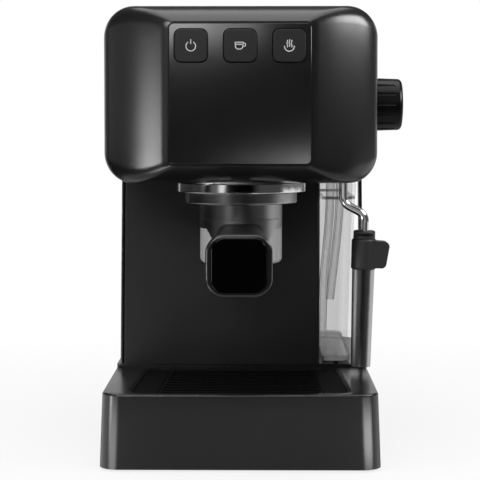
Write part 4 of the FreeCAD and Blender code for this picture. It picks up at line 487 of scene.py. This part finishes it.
def tube_along(name, points, radius, bore, sides):
    """An open tube with a real wall: one ring, extruded from point to point, then given its thickness."""
    shape = bmesh.new()
    first = points[1] - points[0]
    start = Matrix.Translation(points[0]) @ first.to_track_quat("Z", "Y").to_matrix().to_4x4()
    heading = first.normalized()
    bmesh.ops.create_circle(shape, segments=sides, radius=radius, matrix=start)
    edges = shape.edges[:]
    for i, (last, here) in enumerate(zip(points, points[1:])):
        onward = points[min(i + 2, len(points) - 1)] - last
        made = bmesh.ops.extrude_edge_only(shape, edges=edges)["geom"]
        ring = [g for g in made if isinstance(g, bmesh.types.BMVert)]
        edges = [g for g in made if isinstance(g, bmesh.types.BMEdge)]
        bmesh.ops.translate(shape, verts=ring, vec=here - last)
        turn = heading.rotation_difference(onward.normalized()).to_matrix()
        bmesh.ops.rotate(shape, verts=ring, cent=here, matrix=turn)
        heading = onward.normalized()
    bmesh.ops.recalc_face_normals(shape, faces=shape.faces)
    bmesh.ops.solidify(shape, geom=shape.faces[:], thickness=radius - bore)
    shape.normal_update()
    # faces that turn left or right get the painted shade of the outline
    for face in shape.faces:
        face.material_index = int(abs(face.normal.x) > HOSE_SHADED_TURN)
    mesh = bpy.data.meshes.new(name)
    shape.to_mesh(mesh)
    shape.free()
    mesh.polygons.foreach_set("use_smooth", [True] * len(mesh.polygons))
    piece = bpy.data.objects.new(name, mesh)
    scene.collection.objects.link(piece)
    return piece


def hang_hose(name, points, node):
    """One hose with its finishes and its body, in place of the frame's hose, which is hidden."""
    piece = tube_along(name, points, HOSE_RADIUS, HOSE_BORE, HOSE_SIDES)
    piece.data.materials.append(hose_silicone)
    # the second finish is the painted dark outline on the hose's sides
    piece.data.materials.append(hose_outline_shade)
    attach(piece, "housing")
    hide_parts(node)
    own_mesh(piece)
    return piece


suction_hose = hang_hose("suction_hose_soft", suction_points, "suction_hose")
return_hose = hang_hose("return_hose_soft", return_points, "return_hose")
print("hose faces", len(suction_hose.data.polygons), len(return_hose.data.polygons))

# %% [markdown]
# ## The signs on the buttons
# Each button carries a small pale sign in thin strokes: a broken ring with a bar for power, a cup for coffee
# and a bowl with rising wisps for steam. A stroke is a row of points made solid: each point gets a partner
# on either side, the pairs are joined to a ribbon, and the ribbon is given a hair of thickness, so the sign
# stays crisp from any side.

# %% Strokes
STROKE = 0.00028                # half the width of a stroke
SIGN_THICK = 0.00008
SIGN_SINK = 0.00003             # the sign starts just inside the button's face
BUTTON_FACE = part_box("coffee_button")[0].y


def arc(centre, radius, start, end, steps=18):
    """Points on a circle, with angles in degrees from the right, anticlockwise."""
    turns = [math.radians(start + (end - start) * i / steps) for i in range(steps + 1)]
    return [(centre[0] + radius * math.cos(t), centre[1] + radius * math.sin(t)) for t in turns]


def sign(name, body, strokes):
    """A sign of several strokes, each a list of (x, z) points from the button's middle."""
    low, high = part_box(body)
    middle = (low + high) / 2
    shape = bmesh.new()
    for points in strokes:
        left = []
        right = []
        for i, (x, z) in enumerate(points):
            ahead = points[min(i + 1, len(points) - 1)]
            behind = points[max(i - 1, 0)]
            along = Vector((ahead[0] - behind[0], ahead[1] - behind[1])).normalized()
            side = Vector((-along.y, along.x)) * STROKE
            left.append(shape.verts.new((middle.x + x + side.x, 0, middle.z + z + side.y)))
            right.append(shape.verts.new((middle.x + x - side.x, 0, middle.z + z - side.y)))
        for a, b, c, d in zip(left, left[1:], right[1:], right):
            shape.faces.new((a, b, c, d))
    bmesh.ops.recalc_face_normals(shape, faces=shape.faces)
    front = bmesh.ops.extrude_face_region(shape, geom=shape.faces[:])["geom"]
    bmesh.ops.translate(shape, verts=[g for g in front if isinstance(g, bmesh.types.BMVert)],
                        vec=(0, -SIGN_THICK - SIGN_SINK, 0))
    bmesh.ops.translate(shape, verts=shape.verts, vec=(0, BUTTON_FACE + SIGN_SINK, 0))
    bmesh.ops.recalc_face_normals(shape, faces=shape.faces)
    mesh = bpy.data.meshes.new(name)
    shape.to_mesh(mesh)
    shape.free()
    piece = bpy.data.objects.new(name, mesh)
    scene.collection.objects.link(piece)
    piece.data.materials.append(sign_grey)
    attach(piece, body)
    return piece


print("the buttons' face is at y", round(BUTTON_FACE, 5))

# %% The three signs
power_sign = sign("power_sign", "power_button", [
    arc((0, -0.0004), 0.0031, 122, 418, 30),
    [(0, 0.0010), (0, 0.0041)]])
coffee_sign = sign("coffee_sign", "coffee_button", [
    [(-0.0033, 0.0021), (0.0021, 0.0021)],
    [(-0.0027, 0.0008), (0.0014, 0.0008)],
    [(-0.0032, 0.0023), (-0.0030, 0.0002), *arc((-0.0011, -0.0004), 0.0019, 180, 270, 6),
     *arc((-0.0001, -0.0004), 0.0019, 270, 360, 6), (0.0019, 0.0002), (0.0021, 0.0023)],
    arc((0.0025, 0.0005), 0.0011, 95, -110, 10)])
wisp = [(0.0, -0.0018), (0.0004, -0.0006), (-0.0003, 0.0008), (0.0003, 0.0022), (0.0001, 0.0030)]
steam_sign = sign("steam_sign", "steam_button", [
    arc((0.0, -0.0006), 0.0031, 172, 368, 24),
    *[[(x + shift, z + 0.0010 - abs(shift) * 0.3) for x, z in wisp] for shift in (-0.0014, 0.0, 0.0014)]])
print("signs", [len(o.data.polygons) for o in (power_sign, coffee_sign, steam_sign)])

# %% [markdown]
# ## The stage
# The machine stands on a pale floor before a white ground. White here is a colour and not more light: the
# world and the floor show it to the camera, to reflections and through glass, while the light that falls on
# the machine stays at a plain level. Away from the machine the floor's own shade fades out, so that it runs
# into the white ground without an edge.

# %% The world
AMBIENT = 0.50


def seen_share(tree):
    """1 for rays from the camera, off gloss and through glass."""
    path = tree.nodes.new("ShaderNodeLightPath")
    camera_ray = Wire(tree, path.outputs["Is Camera Ray"])
    gloss_ray = Wire(tree, path.outputs["Is Glossy Ray"])
    glass_ray = Wire(tree, path.outputs["Is Transmission Ray"])
    return camera_ray.larger(gloss_ray).larger(glass_ray)


world = bpy.data.worlds.new("white_ground")
scene.world = world
world.use_nodes = True
background = world.node_tree.nodes["Background"]
background.inputs["Color"].default_value = (1, 1, 1, 1)
level = AMBIENT + seen_share(world.node_tree) * (1 - AMBIENT)
world.node_tree.links.new(level.socket, background.inputs["Strength"])
print("light from all round", AMBIENT)

# %% The floor
FLOOR_SIZE = 6.0
FLOOR_CLOUDS = 3.0              # in a metre
FLOOR_DARK = 0.86
FLOOR_LIGHT = 0.90
SHADOW_SHARE = 0.2              # how much of the floor's own light and shade is seen beside the machine
SHADOW_NEAR = 0.22
SHADOW_FAR = 0.60


def flat_board(name, width, height, matrix, material):
    """A flat board of the stage."""
    shape = bmesh.new()
    bmesh.ops.create_grid(shape, x_segments=1, y_segments=1, size=0.5,
                          matrix=matrix @ Matrix.Diagonal((width, height, 1, 1)))
    mesh = bpy.data.meshes.new(name)
    shape.to_mesh(mesh)
    shape.free()
    board = bpy.data.objects.new(name, mesh)
    scene.collection.objects.link(board)
    mesh.materials.append(material)
    return board


floor_paint, floor_shader, floor_place = new_finish("floor_paint", {
    "Roughness": 0.9, "Specular IOR Level": 0.1})
feed(floor_shader, {
    "Base Color": floor_place.noise(FLOOR_CLOUDS).between(grey(FLOOR_DARK), grey(FLOOR_LIGHT))})
floor_tree = floor_paint.node_tree
glow = floor_place.node("ShaderNodeEmission", {}, {"Color": (1, 1, 1, 1), "Strength": 1.0})
away = floor_place.node("ShaderNodeVectorMath", {"operation": "LENGTH"}, {0: floor_place}, "Value")
own = away.node("ShaderNodeMapRange", {"interpolation_type": "SMOOTHSTEP"}, {
    "Value": away, "From Min": SHADOW_NEAR, "From Max": SHADOW_FAR, "To Min": SHADOW_SHARE, "To Max": 0.0})
share = seen_share(floor_tree) * (1 - own)
lit = Wire(floor_tree, floor_shader.outputs[0])
mixed = share.node("ShaderNodeMixShader", {}, {0: share, 1: lit, 2: glow})
floor_tree.links.new(mixed.socket, floor_tree.nodes["Material Output"].inputs["Surface"])
floor = flat_board("floor", FLOOR_SIZE, FLOOR_SIZE, Matrix.Identity(4), floor_paint)
print("floor", FLOOR_SIZE, "m")

# %% [markdown]
# ## What the gloss mirrors
# A black gloss shows little but what it mirrors, so a studio builds a room for it. Here it is a dark tent of
# six walls, a roof and a ground, with a pale board overhead. Before its walls stand narrow boards of many
# strengths, and each of them draws one band: left_board the band on the left cheek, the low boards the
# bright corners of the tray, the panel's boards the sheen in its corners. Only reflections see them, so they
# add no light to the machine. In a studio a flag keeps a board out of a piece that it would spoil. Light
# linking does that here: each board names the pieces that it shows in.

# %% The tent
TENT_REACH = 1.6
TENT_SIDE = 1.9
TENT_FOOT = -1.0
TENT_TOP = 2.4
TENT_LEVELS = {0: 0.03, 60: 0.06, 120: 0.10, 180: 0.10, 240: 0.07, 300: 0.11}   # by degrees from the front
TENT_LIDS = {                   # side, height, level
    "tent_roof": (2 * TENT_SIDE, TENT_TOP, 0.5),
    "tent_ground": (2 * TENT_SIDE, TENT_FOOT, 0.6),
    "top_board": (1.3, 1.3, 2.6),
}


def reflected_board(name, width, height, matrix, level):
    """A board with a brightness of its own that only reflections see."""
    paint = bpy.data.materials.new(name)
    paint.use_nodes = True
    glow = paint.node_tree.nodes.new("ShaderNodeEmission")
    glow.inputs["Color"].default_value = grey(1.0)
    glow.inputs["Strength"].default_value = level
    paint.node_tree.links.new(glow.outputs[0], paint.node_tree.nodes["Material Output"].inputs["Surface"])
    board = flat_board(name, width, height, matrix, paint)
    board.visible_camera = False
    board.visible_diffuse = False
    board.visible_shadow = False
    board.visible_transmission = False
    return board


def standing_board(name, turn, distance, width, foot, top, level):
    """An upright board that faces the machine; positive turns are to the right."""
    upright = Matrix.Translation((0, -distance, (foot + top) / 2)) @ Matrix.Rotation(math.pi / 2, 4, "X")
    place = Matrix.Rotation(math.radians(turn), 4, "Z") @ upright
    return reflected_board(name, width, top - foot, place, level)


for turn, level in TENT_LEVELS.items():
    standing_board("tent_wall", turn, TENT_REACH, TENT_SIDE, TENT_FOOT, TENT_TOP, level)
for name, (side, height, level) in TENT_LIDS.items():
    reflected_board(name, side, side, Matrix.Translation((0, 0, height)), level)
print("tent walls", len(TENT_LEVELS), "lids", len(TENT_LIDS))

# %% The boards
BOARDS = {                      # who sees it, degrees from the front, distance, width, foot, top, level
    "left_board": ("housing", -57, 1.25, 0.24, -0.10, 0.25, 17.0),
    "left_soft_board": ("plastic", -92, 1.24, 1.00, 0.17, 0.50, 0.40),
    "left_low_board": ("plastic", -37, 0.35, 0.15, -0.06, 0.03, 6.0),
    "right_high_board": ("plastic", 70, 0.42, 0.26, 0.325, 0.50, 14.0),
    "right_low_board": ("base", 40, 0.35, 0.19, -0.03, 0.03, 11.0),
    "front_low_board": ("plastic", 0, 0.45, 0.32, -0.10, 0.02, 0.5),
    "panel_left_board": ("plastic", -20, 1.20, 0.54, 0.535, 0.95, 10.0),
    "panel_middle_board": ("plastic", -1.5, 1.20, 0.23, 0.535, 0.95, 4.5),
    "panel_glow_first": ("panel", -4.5, 0.57, 0.07, 0.01, 0.12, 0.5),
    "panel_glow_second": ("panel", 2.5, 0.57, 0.07, 0.01, 0.12, 1.5),
    "panel_glow_third": ("panel", 9.0, 0.57, 0.06, 0.01, 0.12, 3.0),
    "panel_glow_last": ("panel", 20.0, 0.57, 0.16, 0.01, 0.12, 5.4),
    "left_rear_board": ("low", -104, 1.20, 1.60, -0.60, 0.13, 1.3),
    "wand_front_board": ("pipe", 0, 1.10, 0.90, 0.05, 0.40, 0.5),
    "right_rear_board": ("all", 105, 1.20, 1.30, -0.60, 0.12, 1.0),
    "front_left_board": ("all", -31, 1.19, 0.22, 0.06, 0.24, 1.0),
    "rear_board": ("not_grid", 180, 1.20, 2.40, -0.20, 0.65, 0.7),
}
FLAGGED = ("group_ring", "wand_sleeve", "portafilter_body", "spout_cup", "spouts", "drip_grid")
PANEL_PIECES = ("front_panel", "power_button", "coffee_button", "steam_button")


def linked(name, pieces, state):
    """A collection that tells a board which pieces it shows in, or which it doesn't."""
    group = bpy.data.collections.new(name)
    for piece in pieces:
        group.objects.link(nodes[piece])
    for link in group.collection_objects:
        link.light_linking.link_state = state
    return group


VIEWERS = {
    "all": None,
    "plastic": linked("seen_by_plastic", FLAGGED, "EXCLUDE"),
    "housing": linked("hidden_from_face", FLAGGED + PANEL_PIECES, "EXCLUDE"),
    "panel": linked("seen_by_panel", ["front_panel"], "INCLUDE"),
    "pipe": linked("seen_by_pipe", ["steam_pipe"], "INCLUDE"),
    "base": linked("seen_by_base", ["drip_tray", "rear_base"], "INCLUDE"),
    "not_grid": linked("hidden_from_grid", ["drip_grid"], "EXCLUDE"),
    "low": linked("seen_low", ["drip_tray", "rear_base", "wand_sleeve", "steam_pipe"], "INCLUDE"),
}
for name, (viewers, *sizes) in BOARDS.items():
    standing_board(name, *sizes).light_linking.receiver_collection = VIEWERS[viewers]
floor.visible_glossy = False
print("boards", len(BOARDS))

# %% [markdown]
# ## The lamps
# Three soft boxes light the machine: one from either side and a wide one from above. Reflections don't see
# them, since the boards already stand for them there.

# %% Lamps
AIM = Vector((0, -0.04, 0.18))
LAMPS = {                       # degrees from the front, degrees up, distance, width, height, radiance
    "left_box": (-54, 20, 1.15, 0.30, 0.80, 4.0),
    "right_box": (60, 30, 1.15, 0.40, 0.60, 3.5),
    "top_box": (0, 80, 1.2, 1.10, 0.80, 3.4),
}


def softbox(name, azimuth, elevation, distance, width, height, radiance):
    """A rectangular lamp that points at the machine."""
    lamp = bpy.data.lights.new(name, "AREA")
    lamp.shape = "RECTANGLE"
    lamp.size = width
    lamp.size_y = height
    lamp.energy = radiance * math.pi * width * height
    holder = bpy.data.objects.new(name, lamp)
    turn = math.radians(azimuth)
    rise = math.radians(elevation)
    away = Vector((math.sin(turn) * math.cos(rise), -math.cos(turn) * math.cos(rise), math.sin(rise)))
    holder.location = AIM + away * distance
    holder.rotation_euler = away.to_track_quat("Z", "Y").to_euler()
    holder.visible_glossy = False
    scene.collection.objects.link(holder)


for name, sizes in LAMPS.items():
    softbox(name, *sizes)
print("lamps", len(LAMPS))
